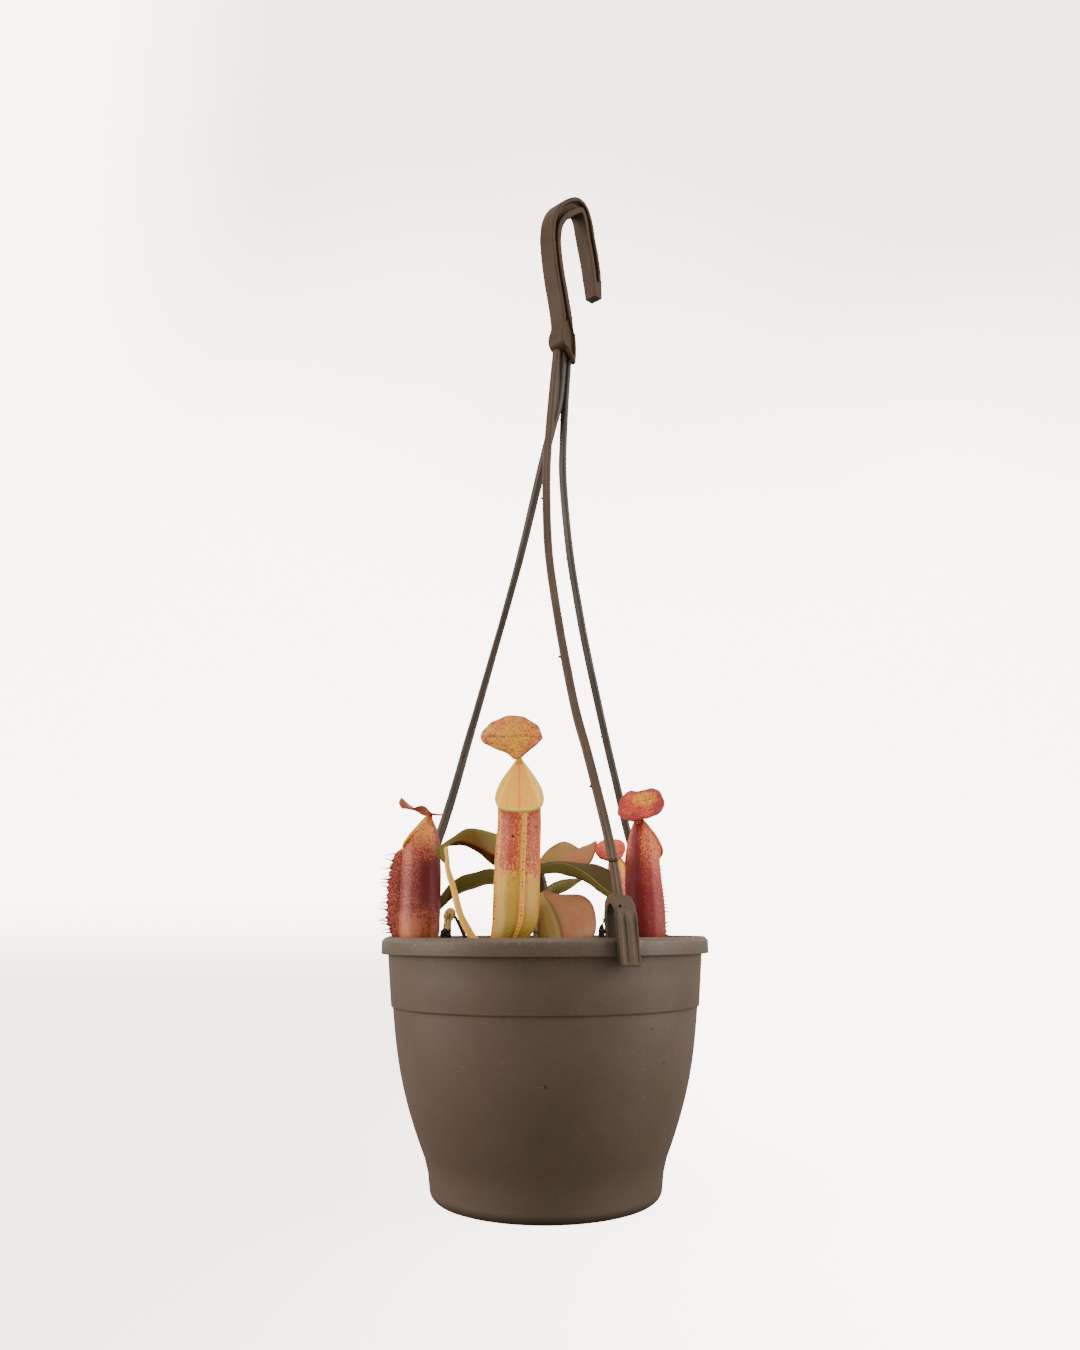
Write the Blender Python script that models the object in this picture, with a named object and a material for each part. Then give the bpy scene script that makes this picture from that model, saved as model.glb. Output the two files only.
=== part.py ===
"""A pitcher plant in a plastic hanging pot, with a moulded three-strand hanger.

Lengths below are in millimetres and turned into metres when a mesh is made. The origin is the centre
of the pot's underside, +Z is up, and -Y is the side that the front pitcher faces.
"""

import math

import bmesh
import bpy
import numpy as np
from mathutils import Vector, noise

MM = 0.001
GAP = 0.3                        # kept between pieces that touch

# Pot
POT_HEIGHT = 111.0
RIM_RADIUS = 75.0
RIM_SKIRT = 7.4                  # depth of the turned-down rim
RIM_INNER = 70.8
WALL = 1.4
BODY_TOP_RADIUS = 72.0           # body just under the rim
LEDGE_HEIGHT = 81.0
LEDGE_STEP = 0.8
FOOT_HEIGHT = 17.5
FOOT_RADIUS = 53.6
BASE_RADIUS = 51.2
BASE_CORNER = 5.0
BELLY_LOW = (65.0, 44.7)         # handles (radius, height) of the belly curve
BELLY_HIGH = (67.0, 60.2)
POT_SIDES = 48
INNER_HEIGHTS = (4.4, 17, 38, 60, 80, 102.6)
DRAINS = 6
DRAIN_RADIUS = 3.0
DRAIN_CIRCLE = 33.0

# Soil
SOIL_LEVEL = 108.6
SOIL_RELIEF = 1.0
POCKET_FLOOR = 105.4             # the soil is scooped this low where a pitcher rests

# Hanger
HOOK_HEADING = math.radians(48)  # the hook's plane, turned from +X towards +Y
HOOK_FOOT = (11.6, 0.0)          # where that plane's zero line stands
HOOK_WIDTH = 10.0                # of the hub, square to the plane
FLANGE = 1.4
WEB = 2.4
STRAND_WIDTH = 4.1
STRAND_DEPTH = 3.0
SLEEVE_TOP = 141.0
CLIP_WIDTH = 7.0
CLIP_TOP = 127.0
CLIP_BOTTOM = 99.8
CLIP_INNER_END = 103.5

# The hook in its own plane: distance along the heading, height, how far its outer and its inner
# face lie from that line, and its width square to the plane
HOOK_LINE = [(-1.8, 418, 2.9, 2.9, 10), (-2.6, 431, 3.1, 3.1, 10), (-5.4, 444, 3, 3, 10),
             (-8.2, 455, 2.9, 2.9, 10), (-10.1, 466, 2.8, 2.8, 10), (-11.0, 477, 2.8, 2.9, 10),
             (-9.6, 487.5, 2.8, 3.6, 10), (-4.9, 497, 2.8, 4.6, 10), (2.0, 504.2, 2.8, 4.9, 9.8),
             (8.6, 508.8, 2.7, 4.4, 9.6), (14.2, 508.6, 2.7, 3.4, 9), (18.0, 502.6, 2.7, 3, 8.2),
             (20.2, 492.8, 2.8, 2.9, 7.6), (23.2, 481.7, 2.8, 2.9, 7.4), (25.5, 469.8, 2.7, 2.8, 7.2),
             (27.0, 457.6, 2.2, 2.3, 6.6)]
HUB = [(-4.6, 427), (-6.9, 421.5), (-7.4, 417.6), (-6.4, 414.6), (-4, 413.3), (4, 413.3), (3.6, 420),
       (2.8, 425), (0.4, 431), (-2.4, 430)]
HUB_LIP = [(-4.6, 415.6), (0.6, 409.4), (2.4, 405.8), (3.8, 406.2), (4.5, 414.4), (3.8, 424)]
HUB_POCKET = [(-3.9, 428), (0.2, 429), (2.6, 423.4), (3, 413), (2.4, 409.8), (-4.6, 417.2)]
TIP_BLOCK = [(23.9, 462), (24.7, 458), (29.2, 458), (28.6, 462)]

# Each strand from the hook down to its clip, and the clip's bearing from -Y towards +X in degrees
STRANDS = {
    "front": dict(bearing=26.3, line=[(7.6, -2.7, 412.6), (4.9, -4, 383), (2.2, -6.5, 348), (1.8, -9.5, 322),
                                      (2.6, -15, 296), (4.9, -21, 273), (9.2, -31, 240.5),
                                      (14.1, -41, 210), (18.5, -48.5, 190.5), (22.8, -56, 172),
                                      (26.4, -62.2, 155), (29, -65.2, 141.3)]),
    "left": dict(bearing=-120.0, line=[(10.7, 0.2, 412.6), (8.5, 2.4, 386.5), (4.5, 4.6, 370), (-0.9, 8.5, 349),
                                       (-11, 15, 307), (-19.5, 22, 276.5), (-25.6, 27, 256),
                                       (-34.5, 32.6, 225.5), (-40.6, 36.4, 205), (-46.2, 38.8, 185),
                                       (-52.4, 39, 164.5), (-60.4, 37.4, 141.3)]),
    "right": dict(bearing=135.0, line=[(13.8, 3.2, 412.6), (12.1, 4, 387), (10.9, 5, 364.5), (10.6, 6.8, 343),
                                       (13.8, 13, 306), (18.6, 20, 276), (22.5, 26, 256),
                                       (29.3, 35, 225.5), (34, 40.4, 205), (38.7, 44.6, 185),
                                       (43.6, 48, 163), (49.6, 50.4, 141.3)]),
}

# Pitchers. Stations are (height, x, y, radius) up the cup; facing is the way that the mouth looks.
# lip gives the height of the lip's front and of its peak, how far each lies ahead of the cup's
# middle, half of the mouth's width, and how pointed its peak is. rib gives how far the two front
# ribs stand out at some heights, and hairs the heights that their bristles run between.
PITCHERS = {
    "front": dict(
        facing=(0.03, -1.0),
        stations=[(106.2, -17, -35, 2.6), (107.2, -16.8, -35, 5.6), (110.5, -15.4, -35, 8.2),
                  (119, -12.9, -35, 10), (141, -12.1, -35, 10.2), (160, -11.2, -35, 9.7)],
        lip=(164.6, 190.2, 8.9, -4.6, 10.4, 1.1),
        rib=[(106, 0.5), (114, 0.9), (125, 1.1), (160, 0.8)], hairs=None),
    "left": dict(
        facing=(-1.0, 0.10),
        stations=[(106.2, -58.4, 0, 2.6), (107.2, -58.4, 0, 6), (110.5, -58.4, 0, 8.9),
                  (119, -58.5, 0, 9.6), (138, -58.4, 0, 9.6), (147, -58.4, 0, 9.3)],
        lip=(151.6, 167.6, 7.6, -3.8, 8.6, 0.9),
        rib=[(106, 2), (110.5, 3.1), (119, 5.6), (135, 5.4), (143, 4.2), (147, 2.8)], hairs=(112, 149)),
    "right": dict(
        facing=(0.5, 0.87),
        stations=[(106.2, 47.2, 0, 2.6), (107.2, 47.2, 0, 6), (110.5, 47.3, 0, 8.8),
                  (122, 47.1, 0, 9.3), (134, 46.7, 0, 8.8), (143, 46.3, 0, 8.3)],
        lip=(146.5, 164.6, 7.4, -2.6, 8.3, 0.62),
        rib=[(106, 1.6), (112, 2.4), (143, 1.6)], hairs=(111, 141)),
    "small": dict(
        facing=(0.35, 0.94),
        stations=[(106.2, 38.5, 30, 1.6), (107, 38.4, 30, 3.2), (110, 37.8, 30, 4.3),
                  (120, 36.9, 30, 4.9), (132, 36.3, 30, 4.8), (140, 36, 30, 4.6)],
        lip=(142, 150.8, 3.8, -1.4, 4.3, 0.9),
        rib=[(106, 0.6), (140, 0.9)], hairs=None),
}
LIP_RADIUS = 0.8
CUP_WALL = 0.9
RIB_ANGLE = math.radians(24)
HAIR_LENGTH = 1.5
HAIR_STEP = 4.2

# Lids: middle, the ways of the long and the short axis, and the outline as (along, across, rise)
LIDS = {
    "front": dict(middle=(-14.7, -30.6, 199.4), long=(1, 0, 0), short=(0, 0.1, 1), dome=1.6,
                  outline=[(-13.9, 0, 0), (-13, -2.4, 0), (-5, -6.4, 0.3), (2.4, -9.7, 0), (5, -9.6, 0),
                           (11, -4.6, 0.4), (13.8, -0.6, 0), (11.1, 5.1, -0.3), (6.1, 8.6, 0), (0, 9.9, 0.4),
                           (-6, 8, 0), (-11.1, 4.3, -0.4)]),
    "left": dict(middle=(-58.8, 1, 170), long=(0.95, 0, -0.31), short=(0, 1, 0.05), dome=-0.8,
                 outline=[(-11.4, 0, 0.2), (-10.6, -3, 2.2), (-8.4, -5, 1.6), (-6, -6.6, -0.6), (-3.4, -8, -0.9),
                          (-0.6, -8.9, 1.1), (2.2, -8.8, 1.7), (5, -7.4, 0.2), (8, -4.6, -0.2), (10.4, 0, 1.2),
                          (8.6, 4.4, 0.9), (5, 7.4, 0.1), (1.4, 8.8, -2), (-1.8, 8.4, -1.6), (-4.8, 7, -0.9),
                          (-7.4, 5.4, -1.4), (-10, 3.4, -2)]),
    "right": dict(middle=(46, -0.4, 172), long=(0.95, 0.05, 0.3), short=(-0.18, 0.68, 0.7), dome=1.6,
                  outline=[(-11.2, 0.4, 0), (-10.6, -4.4, -0.4), (-7.8, -8, 0), (-2, -8.8, 0.5), (3.4, -7.9, 0),
                           (7.8, -5.4, -0.5), (10.6, -1.4, 0), (11, 2.6, 0.4), (8.2, 6.2, 0), (5, 7.1, -0.4),
                           (2.4, 6.4, 0), (-2, 7.8, 0.5), (-7.4, 5.6, 0)]),
    "small": dict(middle=(33.6, 30.6, 153), long=(0.98, 0.05, 0.14), short=(-0.1, 0.7, 0.7), dome=1.0,
                  outline=[(-8, 0, 0), (-6.6, -4, 0.3), (-3, -6.2, 0), (2, -6.4, -0.3), (6, -3.4, 0), (7.6, 0.6, 0.3),
                           (5.8, 4.2, 0), (1, 5.6, -0.3), (-3.6, 4.8, 0), (-6.6, 2.8, 0.3)]),
}
LID_THICKNESS = 0.8

# Leaves: stations of (near edge, midrib, far edge) from the stem to the tip, then the tendril's line
LEAVES = {
    "arch_left": dict(
        stations=[((-7, -1.4, 121), (-7.6, 0.6, 123), (-7, 2.6, 121)),
                  ((-11, -6, 139), (-12.4, -2, 143), (-10.6, 3, 140)),
                  ((-16.5, -14, 147), (-17.2, -7.4, 155), (-16, -1, 145)),
                  ((-23.5, -21, 147), (-22.4, -12, 157), (-22.9, -4, 143)),
                  ((-30.4, -27, 150.4), (-29.6, -19, 158.6), (-30.6, -12, 148.6)),
                  ((-36.2, -31, 152.2), (-35.5, -26, 158.2), (-36.6, -21, 151.2)),
                  ((-40, -34, 151.6), (-40.2, -31, 154.6), (-40.6, -27.6, 150.8)),
                  ((-42.6, -37.2, 149.4), (-44.2, -35.6, 151.2), (-45.6, -33.6, 150)),
                  ((-43, -38.5, 145.4), (-46, -37.8, 147), (-48.6, -37, 148.4)),
                  ((-43.9, -39, 142.4), (-44.3, -38.9, 142.7), (-44.7, -38.8, 143))],
        tendril=[(-43.4, -37, 149.6), (-42.9, -38, 145), (-42.2, -38.6, 139.5), (-39.6, -39, 131.6),
                 (-36.6, -40, 121), (-32, -40.4, 112.4), (-29, -40, 109), (-26.4, -38.6, 107.4)],
        tendril_radius=(1.0, 1.4)),
    "low_left": dict(
        stations=[((-6.6, 5.4, 122), (-6, 6.8, 123), (-5, 7.8, 122)),
                  ((-13.4, 3, 130.6), (-13, 8, 133.6), (-12, 13, 133.6)),
                  ((-24, -1, 135.8), (-24, 6, 138.8), (-24, 13, 141.6)),
                  ((-33.8, 0, 133.7), (-33.8, 7, 136.8), (-33.6, 14, 140)),
                  ((-41.4, 1.6, 131.2), (-41.6, 8, 134), (-41.2, 14, 137.8)),
                  ((-47.4, 11.3, 127), (-47.6, 13, 129.6), (-47.4, 15.6, 133)),
                  ((-52.4, 12.6, 120.6), (-53.4, 13, 121.8), (-54.4, 13.6, 123)),
                  ((-55.4, 12.9, 115.6), (-55.8, 13, 116), (-56.2, 13.1, 116.4))],
        tendril=[(-54.6, 13, 118.4), (-56.6, 13.2, 113.6), (-58.4, 13, 109.8), (-59.4, 11.4, 107.8)],
        tendril_radius=(0.9, 1.2)),
    "arch_right": dict(
        stations=[((-4.4, -4.6, 122), (-2.8, -4.4, 123), (-1.2, -4.6, 122)),
                  ((-6.8, -8.4, 135), (-6.6, -5.4, 139), (-6.4, -1.6, 140.6)),
                  ((-1.8, -11.4, 138.4), (-1.6, -8, 142.4), (-1.4, -3, 143.8)),
                  ((4.8, -14, 139.2), (4.9, -9.6, 143.8), (5, -4, 144.4)),
                  ((10.6, -16.4, 137.8), (10.8, -12, 143.2), (11, -6, 144.4)),
                  ((15.6, -19, 136.3), (16.7, -16, 140.2), (18, -8, 144)),
                  ((20, -21.8, 133.8), (21.2, -19, 136.8), (24.4, -11, 143)),
                  ((24.6, -24.4, 130.6), (25.6, -22, 132.8), (30, -15, 140)),
                  ((28.4, -26.4, 127.6), (29.8, -24.6, 129.6), (33.4, -20, 133.6)),
                  ((31.6, -26.6, 126.2), (32.6, -25.6, 127), (33.6, -24.4, 128))],
        tendril=[(31.4, -25.6, 127.8), (34, -25, 123.6), (36.6, -22.6, 117), (38.6, -18.6, 110.6),
                 (40.4, -14.4, 107.6)],
        tendril_radius=(0.9, 1.2)),
    "under_right": dict(
        stations=[((-1.8, 6.6, 125), (-1.4, 8.2, 123), (-0.6, 9.6, 122.6)),
                  ((-0.6, 7.4, 131.6), (-0.2, 10, 128.6), (0.4, 14, 128.8)),
                  ((2.8, 8, 134.9), (3.2, 12, 131), (4.1, 17, 133)),
                  ((7.6, 9, 137.1), (7.2, 13, 131.8), (8, 19, 135.6)),
                  ((12, 11, 137.8), (11.6, 14, 133.9), (12, 18.6, 136.8)),
                  ((15.6, 13, 137.9), (15.4, 14.8, 136.4), (15.6, 17.2, 137.6)),
                  ((17.8, 14.4, 137.8), (17.9, 15, 137.4), (17.8, 15.8, 137.7))],
        tendril=[(16, 14.8, 137.4), (21, 15.6, 138.2), (26.4, 17, 136.6), (31.4, 19, 130), (34, 21, 120.6),
                 (35.4, 22.4, 111.4), (36, 23.4, 108.2)],
        tendril_radius=(0.7, 0.9)),
    "back_right": dict(
        stations=[((1, 5.6, 141), (-0.6, 6, 141), (-2.2, 6, 141.6)),
                  ((13, 8.6, 142.6), (5.6, 9, 142.6), (-2.6, 8.6, 146)),
                  ((22.4, 14, 145.4), (10, 12, 146.3), (1.6, 14, 151.8)),
                  ((26.2, 22, 156), (13.6, 20, 150.6), (7.8, 20, 156)),
                  ((22.4, 26.6, 155.4), (16.6, 26, 152.6), (12.2, 25, 156.2)),
                  ((18.4, 28.5, 154), (17.5, 28.4, 153.5), (16.6, 28.2, 154))],
        tendril=None, tendril_radius=None),
    "low_right": dict(
        stations=[((2.4, -4.2, 126), (1.4, -4.6, 126), (0.4, -4.6, 125.4)),
                  ((1.6, -8.6, 131.6), (0, -9, 131.2), (-1.4, -8, 130.4)),
                  ((5.8, -13, 129.6), (0.3, -17, 128.4), (-2.8, -15.4, 127)),
                  ((15.3, -18, 129.4), (2.7, -25.4, 124.4), (-3, -23, 122.6)),
                  ((20.3, -24, 126.4), (5, -31.6, 119.6), (-3, -29, 117.6)),
                  ((22.4, -29, 119.6), (6.7, -35.8, 114.4), (-2.8, -33, 112.4)),
                  ((21.6, -31.6, 112), (7.4, -37.6, 110), (-2, -34, 109)),
                  ((17, -32, 108.4), (8, -35, 107.3), (2.4, -32, 107.3)),
                  ((11, -31, 107.4), (8.9, -31, 107.3), (7, -30.6, 107.4))],
        tendril=None, tendril_radius=None),
}
LEAF_THICKNESS = 0.7
MIDRIB = 0.9                     # how far the midrib stands out underneath

STEM_RADIUS = 4.0
STEM_LINE = [(-1, 1, 96), (-1.6, 1, 112), (-1.4, 1, 124), (-1.2, 1.2, 133), (-2.2, 1.6, 141), (-3.6, 2, 148)]
STEM_TAPER = [4.0, 4.0, 3.7, 2.8, 1.7, 0.8]

COLOURS = {
    "pot_plastic": ((0.105, 0.076, 0.055), 0.55),
    "hanger_plastic": ((0.115, 0.085, 0.062), 0.5),
    "soil": ((0.018, 0.012, 0.008), 0.95),
    "leaf_green": ((0.16, 0.15, 0.02), 0.45),
    "leaf_blush": ((0.32, 0.15, 0.07), 0.5),
    "stem_brown": ((0.10, 0.07, 0.03), 0.7),
    "pitcher_gold": ((0.55, 0.28, 0.08), 0.4),
    "pitcher_red": ((0.28, 0.04, 0.03), 0.4),
    "dry_husk": ((0.35, 0.25, 0.13), 0.9),
}


# ---- shared tools

def material(name):
    found = bpy.data.materials.get(name)
    if found:
        return found
    colour, roughness = COLOURS[name]
    made = bpy.data.materials.new(name)
    made.use_nodes = True
    shader = made.node_tree.nodes["Principled BSDF"]
    shader.inputs["Base Color"].default_value = (*colour, 1)
    shader.inputs["Roughness"].default_value = roughness
    shader.inputs["Metallic"].default_value = 0.0
    return made


def solid(name, points, faces, finish, smooth=True):
    """An object from points in millimetres and outward-facing polygons."""
    mesh = bpy.data.meshes.new(name)
    mesh.from_pydata([Vector(p) * MM for p in points], [], faces)
    mesh.validate()
    mesh.materials.append(material(finish))
    made = bpy.data.objects.new(name, mesh)
    bpy.context.scene.collection.objects.link(made)
    outward(made)
    if smooth:
        mesh.shade_smooth()
        mesh.set_sharp_from_angle(angle=math.radians(50))
    return made


def outward(piece):
    """Turns the faces of a closed mesh so that they point out."""
    shape = bmesh.new()
    shape.from_mesh(piece.data)
    bmesh.ops.recalc_face_normals(shape, faces=shape.faces)
    if shape.calc_volume(signed=True) < 0:
        bmesh.ops.reverse_faces(shape, faces=shape.faces)
    shape.to_mesh(piece.data)
    shape.free()


def combine(piece, others, operation):
    """Applies one Boolean of the other pieces to the first, and removes them."""
    for other in others:
        step = piece.modifiers.new("join", "BOOLEAN")
        step.operation = operation
        step.solver = "EXACT"
        step.object = other
    bpy.context.view_layer.update()
    graph = bpy.context.evaluated_depsgraph_get()
    result = bpy.data.meshes.new_from_object(piece.evaluated_get(graph))
    old = piece.data
    piece.modifiers.clear()
    result.name = piece.name
    piece.data = result
    bpy.data.meshes.remove(old)
    for other in others:
        bpy.data.objects.remove(other)
    tidy(piece)
    return piece


def tidy(piece):
    """Merges the specks that a Boolean leaves behind."""
    shape = bmesh.new()
    shape.from_mesh(piece.data)
    bmesh.ops.triangulate(shape, faces=shape.faces)
    bmesh.ops.remove_doubles(shape, verts=shape.verts, dist=0.02 * MM)
    bmesh.ops.dissolve_degenerate(shape, edges=shape.edges, dist=0.02 * MM)
    shape.to_mesh(piece.data)
    shape.free()


def smooth_line(points, steps):
    """Points on a Catmull-Rom curve through the given ones, spread evenly over its spans."""
    line = np.asarray(points, float)
    ends = np.vstack([2 * line[0] - line[1], line, 2 * line[-1] - line[-2]])
    found = []
    for s in np.linspace(0, len(line) - 1, steps):
        i = min(int(s), len(line) - 2)
        t = s - i
        a, b, c, d = ends[i:i + 4]
        found.append(0.5 * (2 * b + (c - a) * t + (2 * a - 5 * b + 4 * c - d) * t * t
                            + (3 * b - a - 3 * c + d) * t ** 3))
    return np.array(found)


def rings_to_solid(name, rings, finish, smooth=True):
    """Joins rings of equally many points into a closed body with flat ends."""
    count = len(rings[0])
    points = [p for ring in rings for p in ring]
    faces = []
    for i in range(len(rings) - 1):
        for j in range(count):
            a, b = i * count + j, i * count + (j + 1) % count
            faces.append((a, b, b + count, a + count))
    faces.append(tuple(range(count))[::-1])
    faces.append(tuple(range((len(rings) - 1) * count, len(rings) * count)))
    return solid(name, points, faces, finish, smooth)


def tube(name, line, radii, finish, sides=7, wide=None, flat=1.0):
    """A round or flattened bar along a line. wide gives the way of its wider side at each point."""
    line = np.asarray(line, float)
    radii = np.interp(np.linspace(0, 1, len(line)), np.linspace(0, 1, len(radii)), radii)
    tangents = np.gradient(line, axis=0)
    rings = []
    side = np.array([1.0, 0.0, 0.0])
    for i, (centre, tangent, radius) in enumerate(zip(line, tangents, radii)):
        tangent = tangent / np.linalg.norm(tangent)
        side = np.asarray(wide[i], float) if wide is not None else side
        side = side - tangent * side.dot(tangent)
        side = side / np.linalg.norm(side)
        across = np.cross(tangent, side)
        turns = (np.arange(sides) + 0.5) * 2 * math.pi / sides
        rings.append([centre + radius * (math.cos(t) * side + flat * math.sin(t) * across) for t in turns])
    return rings_to_solid(name, rings, finish)


# ---- pot and soil

def belly(steps):
    """The pot's swelling wall as a cubic curve from the foot to the ledge, as (radius, height)."""
    start = (FOOT_RADIUS, FOOT_HEIGHT)
    end = (BODY_TOP_RADIUS - 2.8, LEDGE_HEIGHT - 0.4)
    found = []
    for t in np.linspace(0, 1, steps):
        weights = ((1 - t) ** 3, 3 * (1 - t) ** 2 * t, 3 * (1 - t) * t * t, t ** 3)
        found.append(tuple(sum(w * p[i] for w, p in zip(weights, (start, BELLY_LOW, BELLY_HIGH, end)))
                           for i in (0, 1)))
    return found


def outer_wall():
    """The outside of the pot from the middle of its underside up to the rim's inner edge."""
    corner = [(BASE_RADIUS - BASE_CORNER * (1 - math.sin(a)), BASE_CORNER * (1 - math.cos(a)))
              for a in np.radians([0, 30, 60, 90])]
    ledge = [(BODY_TOP_RADIUS - 2.8 + LEDGE_STEP, LEDGE_HEIGHT)]
    band = [(BODY_TOP_RADIUS - 0.9, 93.0), (BODY_TOP_RADIUS, POT_HEIGHT - RIM_SKIRT)]
    skirt = [(RIM_RADIUS, POT_HEIGHT - RIM_SKIRT), (RIM_RADIUS, POT_HEIGHT - 2.4),
             (RIM_RADIUS - 0.8, POT_HEIGHT - 0.7), (RIM_RADIUS - 2.4, POT_HEIGHT),
             (RIM_INNER + 0.5, POT_HEIGHT), (RIM_INNER, POT_HEIGHT - 0.6)]
    return [(0, 0), *corner, (52.0, 11.5), *belly(6), *ledge, *band, *skirt]


def inner_radius(height):
    """The pot's inside radius at a height."""
    wall = [(r, z) for r, z in outer_wall() if 0 < z <= POT_HEIGHT - RIM_SKIRT and r <= BODY_TOP_RADIUS]
    return float(np.interp(height, [z for _, z in wall], [r for r, _ in wall])) - WALL


def turned(name, profile, finish, sides=POT_SIDES):
    """A closed body turned about Z from a profile that starts and ends on the axis."""
    start, *between, end = profile
    points = [(0, 0, start[1])]
    for radius, height in between:
        for turn in np.arange(sides) * 2 * math.pi / sides:
            points.append((radius * math.cos(turn), radius * math.sin(turn), height))
    points.append((0, 0, end[1]))
    faces = []
    for j in range(sides):
        k = (j + 1) % sides
        faces.append((0, 1 + k, 1 + j))
        for i in range(len(between) - 1):
            a = 1 + i * sides
            faces.append((a + j, a + k, a + sides + k, a + sides + j))
        last = 1 + (len(between) - 1) * sides
        faces.append((last + j, last + k, len(points) - 1))
    return solid(name, points, faces, finish)


def peg(x, y, low, high, radius, sides=12):
    """A plain upright cylinder, for cutting holes."""
    turns = np.arange(sides) * 2 * math.pi / sides
    rings = [[(x + radius * math.cos(t), y + radius * math.sin(t), z) for t in turns] for z in (low, high)]
    return rings_to_solid("cutter", rings, "soil", smooth=False)


def make_pot():
    inside = [(inner_radius(z), z) for z in INNER_HEIGHTS[::-1]]
    floor = [(inside[-1][0] - 2.6, 1.8), (0, 1.8)]
    pot = turned("pot", [*outer_wall(), *inside, *floor], "pot_plastic")
    drains = []
    for i in range(DRAINS):
        turn = 2 * math.pi * (i + 0.5) / DRAINS
        drains.append(peg(DRAIN_CIRCLE * math.cos(turn), DRAIN_CIRCLE * math.sin(turn), -1, 4, DRAIN_RADIUS))
    return combine(pot, drains, "DIFFERENCE")


def soil_height(x, y):
    """Loose, crumbly soil that slopes down a little towards the wall."""
    place = Vector((x * 0.09, y * 0.09, 3.1))
    edge = max(0.0, math.hypot(x, y) - 60) / 10
    return SOIL_LEVEL + SOIL_RELIEF * noise.noise(place) + 0.5 * noise.noise(place * 3) - 0.5 * edge


def make_soil():
    sides = POT_SIDES
    radii = [67, 57, 45, 32, 17]
    wall = [(inner_radius(z) - GAP - 0.1, z + 0.1) for z in INNER_HEIGHTS]
    rings = [[(r * math.cos(t), r * math.sin(t), z) for t in np.arange(sides) * 2 * math.pi / sides]
             for r, z in [(44, 2.2), (wall[0][0] - 2.6, 2.2), *wall, (RIM_INNER - 0.6, 105)]]
    for r in radii:
        rings.append([(x, y, soil_height(x, y)) for x, y in
                      ((r * math.cos(t), r * math.sin(t)) for t in np.arange(sides) * 2 * math.pi / sides)])
    soil = rings_to_solid("soil", rings, "soil")
    holes = [peg(STEM_LINE[0][0], STEM_LINE[0][1], STEM_LINE[0][2] - 0.6, 120, STEM_RADIUS + 1.3, 12)]
    for shape in PITCHERS.values():
        _, x, y, radius = shape["stations"][2]
        heading = np.array(shape["facing"]) / math.hypot(*shape["facing"])
        ahead = rib_rise(shape, SOIL_LEVEL) / 2
        holes.append(peg(x + ahead * heading[0], y + ahead * heading[1], POCKET_FLOOR, 120,
                         radius + ahead + 1.6, 14))
    for x, y, radius in ((-28.8, -39.6, 5.6), (-59.4, 12.4, 4.4), (40.6, -15, 5), (35.6, 22.6, 4), (26, -10, 2.6),
                         (-35.6, -13, 2.4), (9, -33, 14.5)):
        holes.append(peg(x, y, POCKET_FLOOR, 120, radius, 10))
    for strand in STRANDS.values():
        holes.append(clip_pocket(math.radians(strand["bearing"])))
    return combine(soil, holes, "DIFFERENCE")


# ---- hanger

def clip_frame(bearing):
    """The outward and sideways unit directions of a clip."""
    out = np.array([math.sin(bearing), -math.cos(bearing), 0.0])
    return out, np.array([math.cos(bearing), math.sin(bearing), 0.0])


def extruded(name, outline, bearing, width, finish):
    """A solid of one width from an outline of (radius, height) points, set at a bearing on the rim."""
    out, side = clip_frame(bearing)
    rings = [[out * r + side * (0.5 * sign * width) + np.array([0, 0, z]) for r, z in outline]
             for sign in (-1, 1)]
    return rings_to_solid(name, rings, finish, smooth=False)


def clip_pocket(bearing):
    outline = [(66.4, CLIP_INNER_END - 0.5), (73, CLIP_INNER_END - 0.5), (73, 122), (66.4, 122)]
    return extruded("cutter", outline, bearing, CLIP_WIDTH + 0.8, "soil")


def make_clip(name, bearing, strand_end):
    """An inverted U that straddles the rim, with a barb under the skirt and a sleeve for the strand."""
    under_skirt = POT_HEIGHT - RIM_SKIRT - GAP
    outline = [(67.4, CLIP_INNER_END), (69.3, CLIP_INNER_END), (69.9, 119.5), (70.8, 121.6), (73, 122.4),
               (75.4, 121.6), (76.1, 119.5), (75.9, under_skirt), (74, under_skirt), (74.2, under_skirt - 0.9),
               (77, under_skirt - 2.2), (77.6, CLIP_BOTTOM), (79.6, CLIP_BOTTOM), (79.2, 118), (78, 123.4),
               (75, 126.4), (71, CLIP_TOP), (68.4, 124.4), (67.2, 119)]
    clip = extruded(name, outline, bearing, CLIP_WIDTH, "hanger_plastic")
    out, side = clip_frame(bearing)
    foot = out * 73 + np.array([0, 0, 123.6])
    top = np.array([*strand_end[:2], SLEEVE_TOP - GAP])
    sleeve = tube("sleeve", [foot, foot * 0.5 + top * 0.5, top], [2.7, 2.5, 2.3], "hanger_plastic", sides=8,
                  wide=[side] * 3, flat=0.72)
    return combine(clip, [sleeve], "UNION")


def make_strand(name, line, bearing):
    """A flattened bar that turns from the hook's cross direction to the clip's sideways one."""
    points = smooth_line(line, 22)
    start = -HOOK_HEADING + math.radians(6)
    end = bearing
    while end - start > math.pi / 2:
        end -= math.pi
    while end - start < -math.pi / 2:
        end += math.pi
    turns = start + (end - start) * np.linspace(0, 1, len(points))
    wide = [(math.cos(t), math.sin(t), 0) for t in turns]
    narrow = STRAND_WIDTH / 2 / math.cos(math.pi / 8)
    return tube(name, points, [narrow, narrow], "hanger_plastic", sides=8, wide=wide,
                flat=STRAND_DEPTH / STRAND_WIDTH)


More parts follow.
